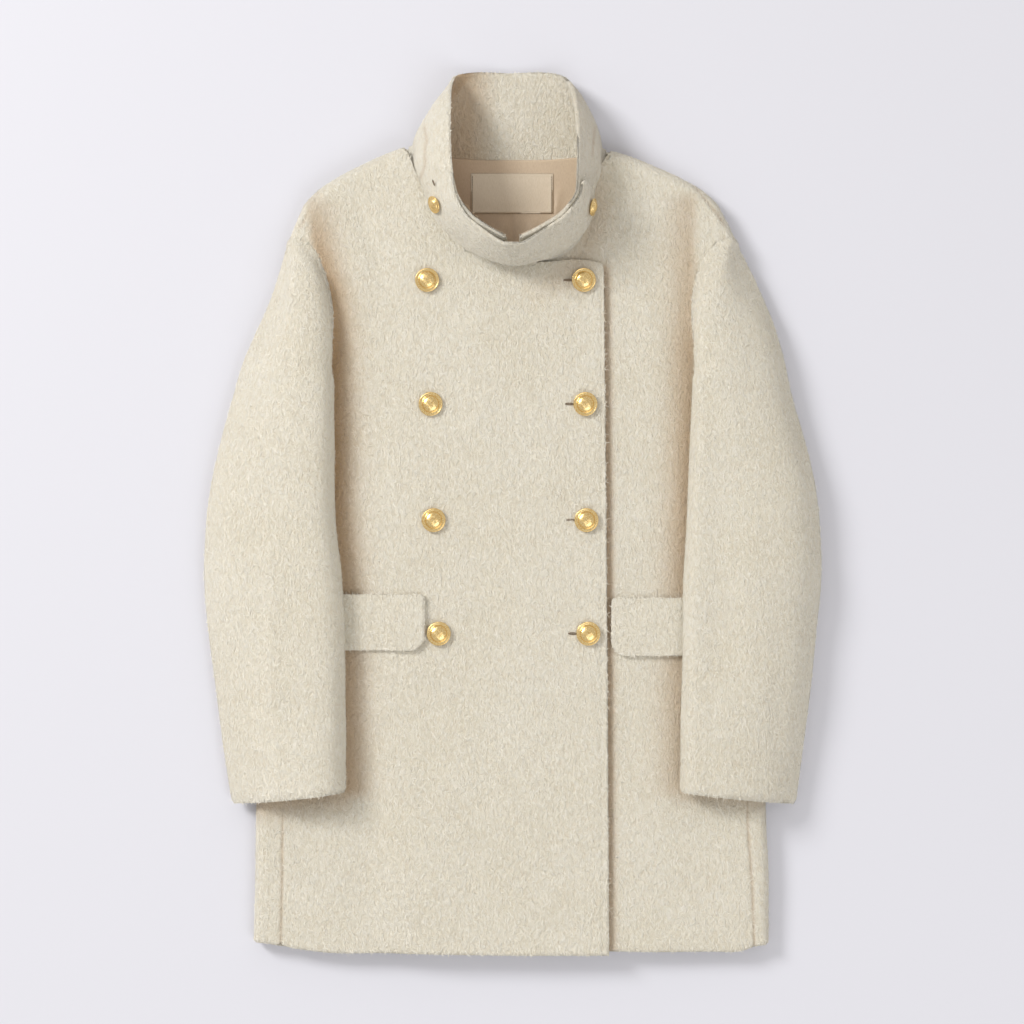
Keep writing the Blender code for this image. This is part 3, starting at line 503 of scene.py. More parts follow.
def laid(x, y, layer, depth=0.0):
    """Place a flattened point on the body's front (+1) or back (-1) piece,
    this deep in its wall."""
    height = body_height(y)
    radius = height / 2
    flat = half_width(x, y) - radius
    sunk, out = depth, abs(x)
    if abs(x) > flat:
        angle = (abs(x) - flat) / radius
        if angle > math.pi:
            out = flat - (angle - math.pi) * radius
            sunk = height - depth
        else:
            out = flat + (radius - depth) * math.sin(angle)
            sunk = depth + (radius - depth) * (1 - math.cos(angle))
    px, py = math.copysign(out, x), y
    beyond, outward, bend = past_shoulder(px, py)
    if beyond > 0 and y > UNDERARM_Y:
        angle = min(beyond / bend, math.pi / 2)
        shift = (bend - depth) * math.sin(angle) - beyond
        px += outward[0] * shift
        py += outward[1] * shift
        sunk = max(sunk, depth + (bend - depth) * (1 - math.cos(angle)))
    if layer > 0:
        z = height - sunk + crown(px, y) * max(0.0, 1 - (sunk - depth) / (radius - depth))
    else:
        z = sunk + (crown(px, y) if sunk > radius * 1.4 else 0.0)
    return np.array((px, py, z))


def body_top(x, y):
    return laid(x, y, 1)[2]


def seam_reach(side, y, layer):
    """Flattened distance from the middle to the side seam."""
    sign = SIGN[side]
    radius = body_height(y) / 2
    flat = half_width(sign, y) - radius
    up = smooth_lookup(SIDE_SEAM, side, y)
    quarter = math.pi / 2 * radius
    reach = flat + quarter - up if layer > 0 else flat + quarter + up
    return sign * (reach - SEAM_GAP / 2)


def over_shoulder(line, steps=9):
    """The shoulder's edge, halfway round its fold, from neck to sleeve."""
    moved = []
    for share in np.linspace(1, 0, steps):
        x, y = np.array(line[0]) * (1 - share) + np.array(line[-1]) * share
        beyond, outward, radius = past_shoulder(x, y)
        reach = math.pi / 2 * radius - beyond - SEAM_GAP / 2
        moved.append((x + outward[0] * reach, y + outward[1] * reach))
    return moved


def side_edge(side, layer, hem_y):
    """Hem to underarm up the side seam, then round the armhole to the tip."""
    low = [(seam_reach(side, y, layer), y)
           for y in np.linspace(hem_y, UNDERARM_Y - 1, 25)]
    holes = list(ARMHOLES[side, layer])
    line = SHOULDERS[side]
    return joined(low, [low[-1]] + holes, [holes[-1], over_shoulder(line)[-1]],
                  stops=(SIDE_ROWS, ARMHOLE_ROWS, TIP_ROWS))


def front_surface(x, y, over, depth=0.0):
    point = laid(x, y, 1, depth)
    if over:
        lap = smooth_step(LAP_RAMP[0], LAP_RAMP[1], x)
        point[2] += (CLOTH + LAYER_GAP) * lap
    return point


def armhole_at(edge, layer, y):
    """Where an armhole's edge lies on the body, across and up, at y."""
    reach = np.interp(y, [p[1] for p in edge], [p[0] for p in edge])
    place = laid(reach, y, layer)
    return abs(place[0]), place[2]


def sleeve_section(side, y, front_edge, back_edge):
    """Outer face across the sleeve at y, from the front armhole or underseam
    over its inner fold, its top and its outer fold, to the back."""
    sign = SIGN[side]
    table = SLEEVES[side]
    outer, inner, ridge = (abs(smooth_lookup(table, key, y))
                           for key in ("outer", "inner", "ridge"))
    ridge_z = smooth_lookup(table, "ridge_z", y)
    outer_z = smooth_lookup(table, "outer_z", y)
    rest = smooth_lookup(SLEEVE_ON_BODY, "gap", y)
    middle = body_height(y) / 2
    fold_x = half_width(sign, y) - middle
    wide = middle + rest + 0.4
    under = body_top(sign * (inner + 12), y) + rest
    fold = max(4.0, min(9.5, (ridge_z - under) / 2))
    outer_fold = (outer, outer_z * 0.48)
    if y > UNDERARM_Y:
        front = armhole_at(front_edge, 1, y)
        back = armhole_at(back_edge, -1, y)
        if front[0] > fold_x:
            low = math.degrees(math.acos(min(1, (front[0] - fold_x) / middle)))
            first = [(fold_x + (middle + clear) * math.cos(math.radians(turn)),
                      middle + (middle + clear) * math.sin(math.radians(turn)))
                     for turn, clear in ((low, 1.0), ((low + 85) / 2, rest), (85, rest + 0.4))]
            first += [(fold_x - 12, body_top(sign * (fold_x - 12), y) + rest)]
        else:
            first = [(front[0] + 0.6, front[1] + min(rest, 0.6 + 0.1 * (ridge_z - front[1])))]
        tucked = front[0] - inner > 13
        fold = min(fold, 0.55 * (front[0] - inner)) if tucked else fold
        if tucked:
            first += [(inner + fold + 1, under), (inner + 0.3 * fold, under + 0.3 * fold),
                      (inner, under + fold)]
        last = [outer_fold, (max(outer - 9, back[0] + 1.5), 0.9 + 0.1 * back[1]),
                (back[0] + 0.9, back[1])]
    else:
        tucked = True
        first = [(fold_x + wide * math.cos(turn), middle + wide * math.sin(turn))
                 for turn in np.radians((0, 30, 60, 85))]
        first += [(fold_x - 12, body_top(sign * (fold_x - 12), y) + rest),
                  (inner + fold + 3, under), (inner + 0.3 * fold, under + 0.3 * fold),
                  (inner, under + fold)]
        edge = fold_x + middle
        last = [outer_fold, (outer - 9, 0.9),
                (min(edge + 12, outer - 12), 0.0), (edge + 4.5, 2.8), first[0]]
    if tucked:
        near = first[-1]
        over = [near, (near[0] + 0.7 * fold, near[1] + 0.9 * (ridge_z - near[1])),
                (max(ridge, near[0] + fold + 2), ridge_z)]
    else:
        near = first[-1]
        lift = max(ridge_z - near[1], 0.2)
        stand = smooth_step(7, 19, lift)
        over = [near]
        if lift > 1:
            over += [(near[0] + 4.2 * (1 - stand) + (min(near[0], inner) - near[0]) * stand,
                      near[1] + 0.42 * lift),
                     (near[0] + 9 * (1 - stand) + (inner - near[0] + 0.6 * fold) * stand,
                      near[1] + 0.86 * lift)]
        over += [(max(ridge, over[-1][0] + 3), ridge_z)]
    over += [(max(outer - 14, (outer + over[-1][0]) / 2), outer_z), outer_fold]
    if tucked:
        flat = joined(first, over, last, stops=(UNDER_STOPS, SLEEVE_TOP_STEPS, BOTTOM_STOPS))
    else:
        share = 0.22 + 0.25 * smooth_step(150, 250, y)
        stops = np.concatenate((np.linspace(0, share, len(UNDER_STOPS)),
                                np.linspace(share, 1, SLEEVE_TOP_STEPS)[1:]))
        flat = joined(over, last, stops=(stops, BOTTOM_STOPS))
    flat[:, 1] = np.maximum(flat[:, 1], 0.0)
    return flat


def sleeve_head(side, like, further):
    """The sleeve's first rows: the body's edge where the armhole crosses the
    shoulder's fold, moved off it, its points spaced like another row's."""
    line = np.array(SHOULDERS[side], float)
    down = (line[0] - line[1]) / np.linalg.norm(line[0] - line[1])
    path = []
    for layer in (1, -1):
        hole, below = (np.array(ARMHOLES[side, layer][k], float) for k in (-1, -2))
        end = np.array(over_shoulder(line)[-1])
        seam = (below - hole) / np.linalg.norm(below - hole)
        run = []
        for k in (.04, .20, .36, .52, .68, .84, 1):
            turn = smooth_step(0, 0.5, k)
            way = seam * (1 - turn) + down * turn
            run.append(laid(*(hole + (end - hole) * k), layer)
                       + np.array((*(down * HEAD_GAP + way * further), 0)))
        path += run[:-1] if layer > 0 else run[::-1]
    return spread(path, shares(like))


COLLAR_CURVES = {
    (side, level): [{"y": COLLAR_T, "v": [row[k] for row in table[level]]} for k in range(3)]
    for side, table in (("right", COLLAR_RIGHT), ("left", COLLAR_LEFT))
    for level in ("base", "mid", "top")}


def collar_point(side, t, s):
    """Outer face of the collar: t from middle back to front end, s up it."""
    base, mid, top = (np.array([smooth_lookup(curve, "v", t)
                                for curve in COLLAR_CURVES[side, level]])
                      for level in ("base", "mid", "top"))
    to_middle = np.array((0, NECK_MIDDLE_Y)) - base[:2]
    inward = COLLAR_INSIDE_NECK * smooth_step(0.30, 0.42, t)
    base[:2] += to_middle / np.linalg.norm(to_middle) * inward
    return (base * (1 - s) * (1 - 2 * s) + mid * 4 * s * (1 - s)
            + top * s * (2 * s - 1))


def collar_normal(side, t, s):
    step = 0.01
    around = collar_point(side, t + step, s) - collar_point(side, t - step, s)
    upward = collar_point(side, t, s + step) - collar_point(side, t, s - step)
    normal = np.cross(upward, around) if side == "left" else np.cross(around, upward)
    return normal / np.linalg.norm(normal)


def tab_point(position, s, lift):
    """position runs from -1, the tab's right end, to +1, its left end."""
    side = "right" if position < 0 else "left"
    end = TAB_ENDS[0] if side == "right" else TAB_ENDS[1]
    t = 1 - abs(position) * (1 - end)
    low = 1 - (s - TAB_HEIGHTS[0]) / (TAB_HEIGHTS[1] - TAB_HEIGHTS[0])
    bulge = TAB_BULGE * low * math.cos(position * math.pi / 2)
    normal = collar_normal(side, min(t, 0.985), min(max(s, 0.03), 0.97))
    if abs(position) < 0.08:
        mirror = collar_normal("left" if side == "right" else "right", 0.985,
                               min(max(s, 0.03), 0.97))
        normal = normal + mirror * (1 - abs(position) / 0.08)
        normal /= np.linalg.norm(normal)
    clear = TAB_CLEAR * max(0.0, 1 - abs(position) / 0.4)
    return collar_point(side, t, s) + normal * (lift + bulge + clear)


def inside_back(x, y, rise):
    point = laid(x, y, -1)
    point[2] += CLOTH + rise
    return point


# ------------------------------------------------------------- dense surfaces
def grid_normals(grid):
    normal = np.cross(np.gradient(grid, axis=1), np.gradient(grid, axis=0))
    return normal / np.maximum(np.linalg.norm(normal, axis=2, keepdims=True), 1e-9)


def run_along(grid, axis):
    """Distance run along the rows or columns, from each end, in mm."""
    step = np.linalg.norm(np.diff(grid, axis=axis), axis=2)
    shape = list(grid.shape[:2])
    shape[axis] = 1
    start = np.concatenate((np.zeros(shape), np.cumsum(step, axis=axis)), axis=axis)
    total = np.take(start, [-1], axis=axis)
    return start, total - start


def edge_runs(grid):
    left, right = run_along(grid, 1)
    low, high = run_along(grid, 0)
    return {"left": left, "right": right, "low": low, "high": high}


def nearest(runs):
    """Distance to the nearest of the edges."""
    return np.minimum.reduce([run + np.zeros((1, 1)) for run in runs.values()])


def rounded(distance, radius):
    """How far a wall's face dips toward its rounded edge."""
    near = np.clip(radius - distance, 0, radius)
    return radius - np.sqrt(np.maximum(radius ** 2 - near ** 2, 0))


def valley(distance, depth, width):
    return depth * np.exp(-(distance / width) ** 2)


def troughs(grid, table):
    """Relief of a table of soft folds."""
    relief = np.zeros(grid.shape[:2])
    xy = grid[:, :, :2]
    for row in table:
        fold = dict(zip(FOLD_COLUMNS, row))
        a, b = np.array((fold["x0"], fold["y0"]), float), np.array((fold["x1"], fold["y1"]), float)
        span = b - a
        share = ((xy - a) @ span) / (span @ span)
        bend = fold["bend"] * 4 * np.clip(share, 0, 1) * (1 - np.clip(share, 0, 1))
        side = np.array((-span[1], span[0])) / np.linalg.norm(span)
        away = (xy - a) @ side - bend
        along = np.clip(1.15 - np.abs(share - 0.5) * 2, 0, 1)
        relief += (fold["height"] * np.exp(-(away / fold["width"]) ** 2)
                   * np.sin(along * math.pi / 2) ** 2)
    return relief


def uneven(grid, seed, size, height):
    """Slow rise and fall of soft cloth, from a few waves."""
    rng = np.random.default_rng(seed)
    relief = np.zeros(grid.shape[:2])
    for _ in range(14):
        way = rng.normal(size=3) / size
        relief += np.sin(grid @ way * 2 + rng.uniform(0, 2 * math.pi))
    return relief * height / 3.5


def shell(name, grid, thickness, mat, relief, dips=0.0, flip=False, inner=None,
          shade=0.0, inner_shade=0.0):
    """A wall of cloth: its outer face with relief, and a plain inner face.
    dips gives how far each face draws in toward the wall's middle."""
    normal = grid_normals(grid) * (-1 if flip else 1)
    dips = np.broadcast_to(dips, grid.shape[:2])
    outer = grid + normal * (relief - dips)[:, :, None]
    if inner is None:
        inner = grid - normal * thickness
    inner = inner + normal * np.minimum(dips, thickness / 2)[:, :, None]
    rows, cols = grid.shape[:2]
    count = rows * cols
    index = np.arange(count).reshape(rows, cols)
    quads = np.stack([index[:-1, :-1], index[:-1, 1:], index[1:, 1:], index[1:, :-1]],
                     axis=-1).reshape(-1, 4)
    faces = [quads, quads[:, ::-1] + count]
    rim = np.concatenate((index[0], index[1:, -1], index[-1, -2::-1], index[-2:0:-1, 0],
                          index[0, :1]))
    faces.append(np.stack([rim[1:], rim[:-1], rim[:-1] + count, rim[1:] + count], -1))
    faces = np.concatenate(faces)
    if flip:
        faces = faces[:, ::-1]
    item = mesh_object(name, np.concatenate((outer.reshape(-1, 3), inner.reshape(-1, 3))),
                       faces, mat)
    shades = [np.broadcast_to(v, grid.shape[:2]).ravel() for v in (shade, inner_shade)]
    point_value(item, "shade", np.concatenate(shades))
    item["cut"] = [float(run_along(grid, 1)[0][:, -1].max()) * MM,
                   float(run_along(grid, 0)[0][-1].max()) * MM, float(sheet_area(grid))]
    return item, outer, normal


def point_value(item, name, values):
    layer = item.data.attributes.new(name, "FLOAT", "POINT")
    layer.data.foreach_set("value", np.asarray(values, np.float32))


def shade_near(grid, bands):
    """How deep each point lies in the warm shade beside a crease.  A band's
    line gives x, y and strength, and it fades to the side it names."""
    shade = np.zeros(grid.shape[:2])
    for band in bands:
        line = np.array(band["line"], float)
        order = np.argsort(line[:, 1])
        at = np.interp(grid[:, :, 1], line[order, 1], line[order, 0])
        strength = np.interp(grid[:, :, 1], line[order, 1], line[order, 2])
        away = (grid[:, :, 0] - at) * band["side"]
        near = np.where(away > 0, np.exp(-(away / band["width"]) ** 2), np.exp(-(away / 6) ** 2))
        shade = np.maximum(shade, strength * near)
    return shade


def sheet_area(grid):
    a = np.diff(grid[:-1], axis=1)
    b = np.diff(grid[:, :-1], axis=0)
    return np.linalg.norm(np.cross(a, b), axis=2).sum() * MM * MM


def mesh_object(name, points, faces, mat):
    mesh = bpy.data.meshes.new(name)
    points = np.array(points, np.float32) * MM
    points[:, 2] = np.maximum(points[:, 2], 0)
    faces = np.asarray(faces, np.int32)
    count, sides = faces.shape
    mesh.vertices.add(len(points))
    mesh.vertices.foreach_set("co", points.ravel())
    mesh.loops.add(count * sides)
    mesh.loops.foreach_set("vertex_index", faces.ravel())
    mesh.polygons.add(count)
    mesh.polygons.foreach_set("loop_start", np.arange(0, count * sides, sides))
    mesh.polygons.foreach_set("loop_total", np.full(count, sides))
    mesh.update(calc_edges=True)
    mesh.validate()
    mesh.materials.append(mat)
    mesh.shade_smooth()
    item = bpy.data.objects.new(name, mesh)
    bpy.context.scene.collection.objects.link(item)
    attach(item, "root")
    return item


def nap(name, outer, normal, mat, seed, per_cm2, length=(3.0, 6.5), lift=0.9,
        keep=None, shade=0.0):
    """Brushed fibres: short curled locks that lie on a face and catch light."""
    rng = np.random.default_rng(seed)
    a = outer[:-1, :-1].reshape(-1, 3)
    across = (outer[:-1, 1:] - outer[:-1, :-1]).reshape(-1, 3)
    upward = (outer[1:, :-1] - outer[:-1, :-1]).reshape(-1, 3)
    face_normal = normal[:-1, :-1].reshape(-1, 3)
    area = np.linalg.norm(np.cross(across, upward), axis=1)
    if keep is not None:
        area = area * keep[:-1, :-1].reshape(-1)
    count = int(area.sum() / 100 * per_cm2)
    picks = rng.choice(len(a), count, p=area / area.sum())
    u, v = rng.random((2, count, 1))
    root = a[picks] + across[picks] * u + upward[picks] * v
    n = face_normal[picks]
    lay = np.array(NAP_LIES) + rng.normal(0, NAP_STRAY, (count, 3))
    lay -= n * np.sum(lay * n, axis=1, keepdims=True)
    lay /= np.maximum(np.linalg.norm(lay, axis=1, keepdims=True), 1e-6)
    side = np.cross(n, lay)
    size = rng.uniform(*length, (count, 1))
    curl = rng.normal(0, NAP_CURL, (count, 1)) * size
    rise = rng.uniform(0.35, 1.0, (count, 1)) * lift
    width = rng.uniform(*NAP_HALF_WIDTH, (count, 1))
    points = []
    for t, up, wide in NAP_SECTIONS:
        middle = (root + lay * size * (t - 0.5) + side * curl * (t - 0.5) ** 2 * 4
                  + n * (rise * up))
        points += [middle - side * width * wide, middle + side * width * wide]
    points = np.stack(points, 1)
    base = np.arange(count)[:, None] * 6
    faces = np.concatenate([base + np.array((k, k + 1, k + 3, k + 2)) for k in (0, 2)], 0)
    item = mesh_object(name, points.reshape(-1, 3), faces, mat)
    point_value(item, "tone", np.repeat(rng.random(count), 6))
    shades = np.broadcast_to(shade, outer.shape[:2])[:-1, :-1].reshape(-1)[picks]
    point_value(item, "shade", np.repeat(shades, 6))
    return item


# ------------------------------------------------------------------ materials
def node_tree(name):
    mat = bpy.data.materials.new(name)
    mat.use_nodes = True
    return mat, mat.node_tree, mat.node_tree.nodes["Principled BSDF"]


def add(tree, kind, **settings):
    node = tree.nodes.new(kind)
    for key, value in settings.items():
        setattr(node, key, value)
    return node


def put(node, **values):
    for name, value in values.items():
        node.inputs[name.replace("_", " ")].default_value = value


def noise(tree, vector, scale, detail, roughness=0.5, distortion=0.0):
    node = add(tree, "ShaderNodeTexNoise")
    put(node, Scale=scale, Detail=detail, Roughness=roughness, Distortion=distortion)
    tree.links.new(vector, node.inputs["Vector"])
    return node


def ramp(tree, fac, stops):
    node = add(tree, "ShaderNodeValToRGB")
    while len(node.color_ramp.elements) < len(stops):
        node.color_ramp.elements.new(0.5)
    for element, (at, colour) in zip(node.color_ramp.elements, stops):
        element.position = at
        element.color = (*colour, 1)
    tree.links.new(fac, node.inputs["Fac"])
    return node


def mixed(tree, blend, amount, a, b):
    node = add(tree, "ShaderNodeMix", data_type="RGBA", blend_type=blend)
    if isinstance(amount, float):
        node.inputs[0].default_value = amount
    else:
        tree.links.new(amount, node.inputs[0])
    tree.links.new(a, node.inputs[6])
    tree.links.new(b, node.inputs[7])
    return node.outputs[2]


def bumped(tree, shader, height, strength, distance):
    bump = add(tree, "ShaderNodeBump")
    put(bump, Strength=strength, Distance=distance)
    tree.links.new(height, bump.inputs["Height"])
    tree.links.new(bump.outputs["Normal"], shader.inputs["Normal"])


def shaded(tree, colour):
    """The colour, turned warm and deep where the piece lies in shade."""
    shade = add(tree, "ShaderNodeAttribute", attribute_name="shade")
    tint = ramp(tree, shade.outputs["Fac"], ((0.0, (1, 1, 1)), (1.0, SHADE_TINT)))
    return mixed(tree, "MULTIPLY", 1.0, colour, tint.outputs[0])


def wool_material():
    """Brushed boucle wool: curled clumps a few millimetres long, with painted
    shade darker and warmer between them, on a slow unevenness of tone."""
    mat, tree, shader = node_tree("boucle_wool")
    place = add(tree, "ShaderNodeTexCoord").outputs["Object"]
    stretch = add(tree, "ShaderNodeMapping")
    stretch.inputs["Scale"].default_value = (1.0, 0.55, 1.0)
    stretch.inputs["Rotation"].default_value = (0, 0, math.radians(14))
    tree.links.new(place, stretch.inputs["Vector"])
    clumps = noise(tree, stretch.outputs[0], 300, 3, 0.55, 0.8)
    fibres = noise(tree, stretch.outputs[0], 1400, 2, 0.6, 0.6)
    slow = noise(tree, place, 16, 2, 0.5)
    height = add(tree, "ShaderNodeMath", operation="MULTIPLY_ADD")
    tree.links.new(fibres.outputs["Fac"], height.inputs[0])
    height.inputs[1].default_value = 0.45
    tree.links.new(clumps.outputs["Fac"], height.inputs[2])
    bumped(tree, shader, height.outputs[0], WOOL_BUMP, 0.0042)
    # painted shade: the clumps' low places, which are also low in the bump, are coloured darker and
    # warmer
    tone = ramp(tree, clumps.outputs["Fac"],
                ((0.28, WOOL_HOLLOW_SHADE), (0.46, WOOL_MID), (0.68, WOOL_LIGHT)))
    warm = ramp(tree, slow.outputs["Fac"], ((0.35, (0.965, 0.955, 0.93)), (0.65, (1.0, 1.0, 1.0))))
    tree.links.new(shaded(tree, mixed(tree, "MULTIPLY", 1.0, tone.outputs[0], warm.outputs[0])),
                   shader.inputs["Base Color"])
    put(shader, Roughness=0.95, Specular_IOR_Level=0.15, Sheen_Weight=0.45, Sheen_Roughness=0.5)
    return mat


def nap_material():
    mat, tree, shader = node_tree("wool_nap")
    tone = add(tree, "ShaderNodeAttribute", attribute_name="tone")
    colour = ramp(tree, tone.outputs["Fac"], ((0.0, WOOL_MID), (0.5, WOOL_LIGHT), (1.0, WOOL_TIP)))
    tree.links.new(shaded(tree, colour.outputs[0]), shader.inputs["Base Color"])
    put(shader, Roughness=0.85, Specular_IOR_Level=0.2, Sheen_Weight=0.2)
    return mat


def satin_material(name, deep, light, scale):
    mat, tree, shader = node_tree(name)
    place = add(tree, "ShaderNodeTexCoord").outputs["Object"]
    stretch = add(tree, "ShaderNodeMapping")
    stretch.inputs["Scale"].default_value = (1.0, 0.12, 1.0)
    tree.links.new(place, stretch.inputs["Vector"])
    threads = noise(tree, stretch.outputs[0], scale, 2, 0.5)
    colour = ramp(tree, threads.outputs["Fac"], ((0.3, deep), (0.7, light)))
    tree.links.new(shaded(tree, colour.outputs[0]), shader.inputs["Base Color"])
    bumped(tree, shader, threads.outputs["Fac"], 0.12, 0.0004)
    put(shader, Roughness=0.38, Specular_IOR_Level=0.35, Anisotropic=0.5)
    return mat


def gilt_material():
    mat, tree, shader = node_tree("gilt_brass")
    place = add(tree, "ShaderNodeTexCoord").outputs["Object"]
    specks = noise(tree, place, 900, 3, 0.6)
    colour = ramp(tree, specks.outputs["Fac"], ((0.35, GILT_DEEP), (0.6, GILT_LIGHT)))
    tree.links.new(colour.outputs[0], shader.inputs["Base Color"])
    rough = add(tree, "ShaderNodeMapRange")
    put(rough, To_Min=0.18, To_Max=0.34)
    tree.links.new(specks.outputs["Fac"], rough.inputs["Value"])
    tree.links.new(rough.outputs[0], shader.inputs["Roughness"])
    shader.inputs["Metallic"].default_value = 1.0
    return mat


def plain_material(name, colour, roughness, scale=40.0, spread_of=0.04):
    mat, tree, shader = node_tree(name)
    place = add(tree, "ShaderNodeTexCoord").outputs["Object"]
    grain = noise(tree, place, scale, 2, 0.5)
    low = tuple(c * (1 - spread_of) for c in colour)
    tree.links.new(ramp(tree, grain.outputs["Fac"], ((0.3, low), (0.7, colour))).outputs[0],
                   shader.inputs["Base Color"])
    shader.inputs["Roughness"].default_value = roughness
    return mat


# ------------------------------------------------------------- cloth pieces
def place_grid(grid, place):
    outer = np.array([[place(x, y, 0.0) for x, y in row] for row in grid])
    inner = np.array([[place(x, y, CLOTH) for x, y in row] for row in grid])
    return outer, inner


def lower_hem(grid):
    """The hem's line carries straight on across the side seams."""
    grid = grid.copy()
    beside = np.exp(-((np.abs(grid[:, :, 0]) - 230) / 20) ** 2)
    grid[:, :, 1] -= HEM_DROP * beside * np.clip((-380 - grid[:, :, 1]) / 50, 0, 1)
    return grid


def meet_collar(outer, inner, from_top):
    """The neck's edge reaches in under the collar's foot."""
    neck = (outer[-1, :, 1] > 262) & (np.arange(outer.shape[1]) < len(NECK_COLUMNS) - 2)
    pull = NECK_OVERLAP * np.clip(1 - from_top / 7, 0, 1) ** 2 * neck
    for grid in (outer, inner):
        toward = np.array((0, NECK_MIDDLE_Y)) - grid[:, :, :2]
        toward /= np.linalg.norm(toward, axis=2, keepdims=True)
        grid[:, :, :2] += toward * pull[:, :, None]


def shade_below(grid):
    """Shade that the cuffs throw on the body below them."""
    shade = np.zeros(grid.shape[:2])
    for cuff in CUFF_SHADES:
        (x0, y0), (x1, y1) = cuff["from"], cuff["to"]
        edge = y0 + (y1 - y0) * (grid[:, :, 0] - x0) / (x1 - x0)
        inside = np.clip(np.minimum(grid[:, :, 0] - x0, x1 - grid[:, :, 0]) / 10 + 1, 0, 1)
        below = np.maximum(edge - grid[:, :, 1], 0)
        shade = np.maximum(shade, cuff["strength"] * inside * np.exp(-(below / cuff["reach"]) ** 2))
    return shade * (grid[:, :, 1] < -270)


def seam_mark(grid, seams):
    """1 on a thin sewn line drawn through points, 0 away from it."""
    mark = np.zeros(grid.shape[:2])
    for seam in seams:
        line = spread(seam, 40)
        away = np.min(np.hypot(grid[:, :, None, 0] - line[:, 0],
                               grid[:, :, None, 1] - line[:, 1]), axis=2)
        mark = np.maximum(mark, np.exp(-(away / 1.5) ** 2))
    return mark


def dress_front(name, grid, over, wool, flip, nap_mat):
    outer, inner = place_grid(grid, lambda x, y, depth: front_surface(x, y, over, depth))
    outer, inner = lower_hem(outer), lower_hem(inner)
    meet_collar(outer, inner, edge_runs(outer)["high"])
    runs = edge_runs(outer)
    sewn = 0.15 + 0.85 * (outer[:, -1:, 1] < UNDERARM_Y)
    dips = rounded(runs["low"], 2.0) + valley(runs["right"], 1.0, 1.8) * sewn
    dips = np.maximum(dips, rounded(runs["left"], 2.0) if over else 0)
    dips = np.maximum(dips, valley(runs["high"], 0.3, 2.0))
    relief = troughs(outer, FRONT_FOLDS) + uneven(outer, 7, 60, 0.45)
    relief -= valley(runs["low"] - 24, 0.35, 2.5)
    if over:
        lap = outer[:, :, 1] < 251
        relief -= np.where(lap, valley(runs["left"] - 6.5, 0.75, 1.3), 0)
    fade = np.clip(np.minimum(runs["right"], runs["high"]) / 25, 0, 1)
    relief *= fade
    bands = FRONT_SHADES if over else FRONT_SHADES + LAP_SHADES
    shade = np.maximum(shade_near(outer, bands), shade_below(outer))
    around = np.hypot(outer[:, :, 0], outer[:, :, 1] - 305)
    shade = np.maximum(shade, NECK_SHADE * np.exp(-((around - 84) / 16) ** 2)
                       * np.clip(outer[:, :, 0] / 60, 0, 1))
    shade = np.maximum(shade, SEAM_SHADE * valley(runs["right"], 1, 1.6) * sewn)
    shade = np.maximum(shade, SEAM_SHADE * seam_mark(outer, SHOULDER_SEAMS))
    relief -= 0.7 * seam_mark(outer, SHOULDER_SEAMS)
    relief -= CREASE_SINK * shade * np.clip(runs["right"] / 12, 0, 1)
    item, face, normal = shell(name, outer, CLOTH, wool, relief, dips, flip=flip, inner=inner,
                               shade=shade)
    shown = None
    if not over:
        shown = ((outer[:, :, 0] > UNDER_LAP_X) | (outer[:, :, 1] > 245)).astype(float)
    nap_item = nap(name + "_nap", face, normal, nap_mat, 11, NAP_DENSITY, keep=shown, shade=shade)
    declare(("front_right" if over else "front_left"))
    return item


def declare(node):
    """Hide the part's piece that this wool piece replaces."""
    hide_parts(node)


def front_grids():
    side = side_edge("right", 1, HEM[0][1])
    edge = spread(RIGHT_EDGE, shares(side))
    hem = spread([p for p in HEM if side[0][0] + 12 < p[0] <= 96.5][::-1]
                 + [tuple(side[0])], FRONT_COLUMNS)
    neck = list(RIGHT_LAP_TOP[::-1]) + list(RIGHT_NECK[::-1][1:])
    top = joined(neck, [neck[-1]] + over_shoulder(RIGHT_SHOULDER)[1:],
                 stops=(NECK_COLUMNS, SHOULDER_COLUMNS))
    top[0], top[-1] = edge[-1], side[-1]
    right = patch(edge, side, hem, top)
    side = side_edge("left", 1, HEM[-1][1])
    edge = spread([(UNDER_EDGE_X, -438), (UNDER_EDGE_X, 0), LEFT_LAP_TOP[-1]], shares(side))
    hem = spread([(UNDER_EDGE_X, -438), (5, -439), (96, -438.5)]
                 + [p for p in HEM if 100 < p[0] < side[0][0] - 12]
                 + [tuple(side[0])], FRONT_COLUMNS)
    neck = list(LEFT_LAP_TOP[::-1]) + list(LEFT_NECK[::-1][1:])
    top = joined(neck, [neck[-1]] + over_shoulder(LEFT_SHOULDER)[1:],
                 stops=(NECK_COLUMNS, SHOULDER_COLUMNS))
    top[0], top[-1] = edge[-1], side[-1]
    return right, patch(edge, side, hem, top)


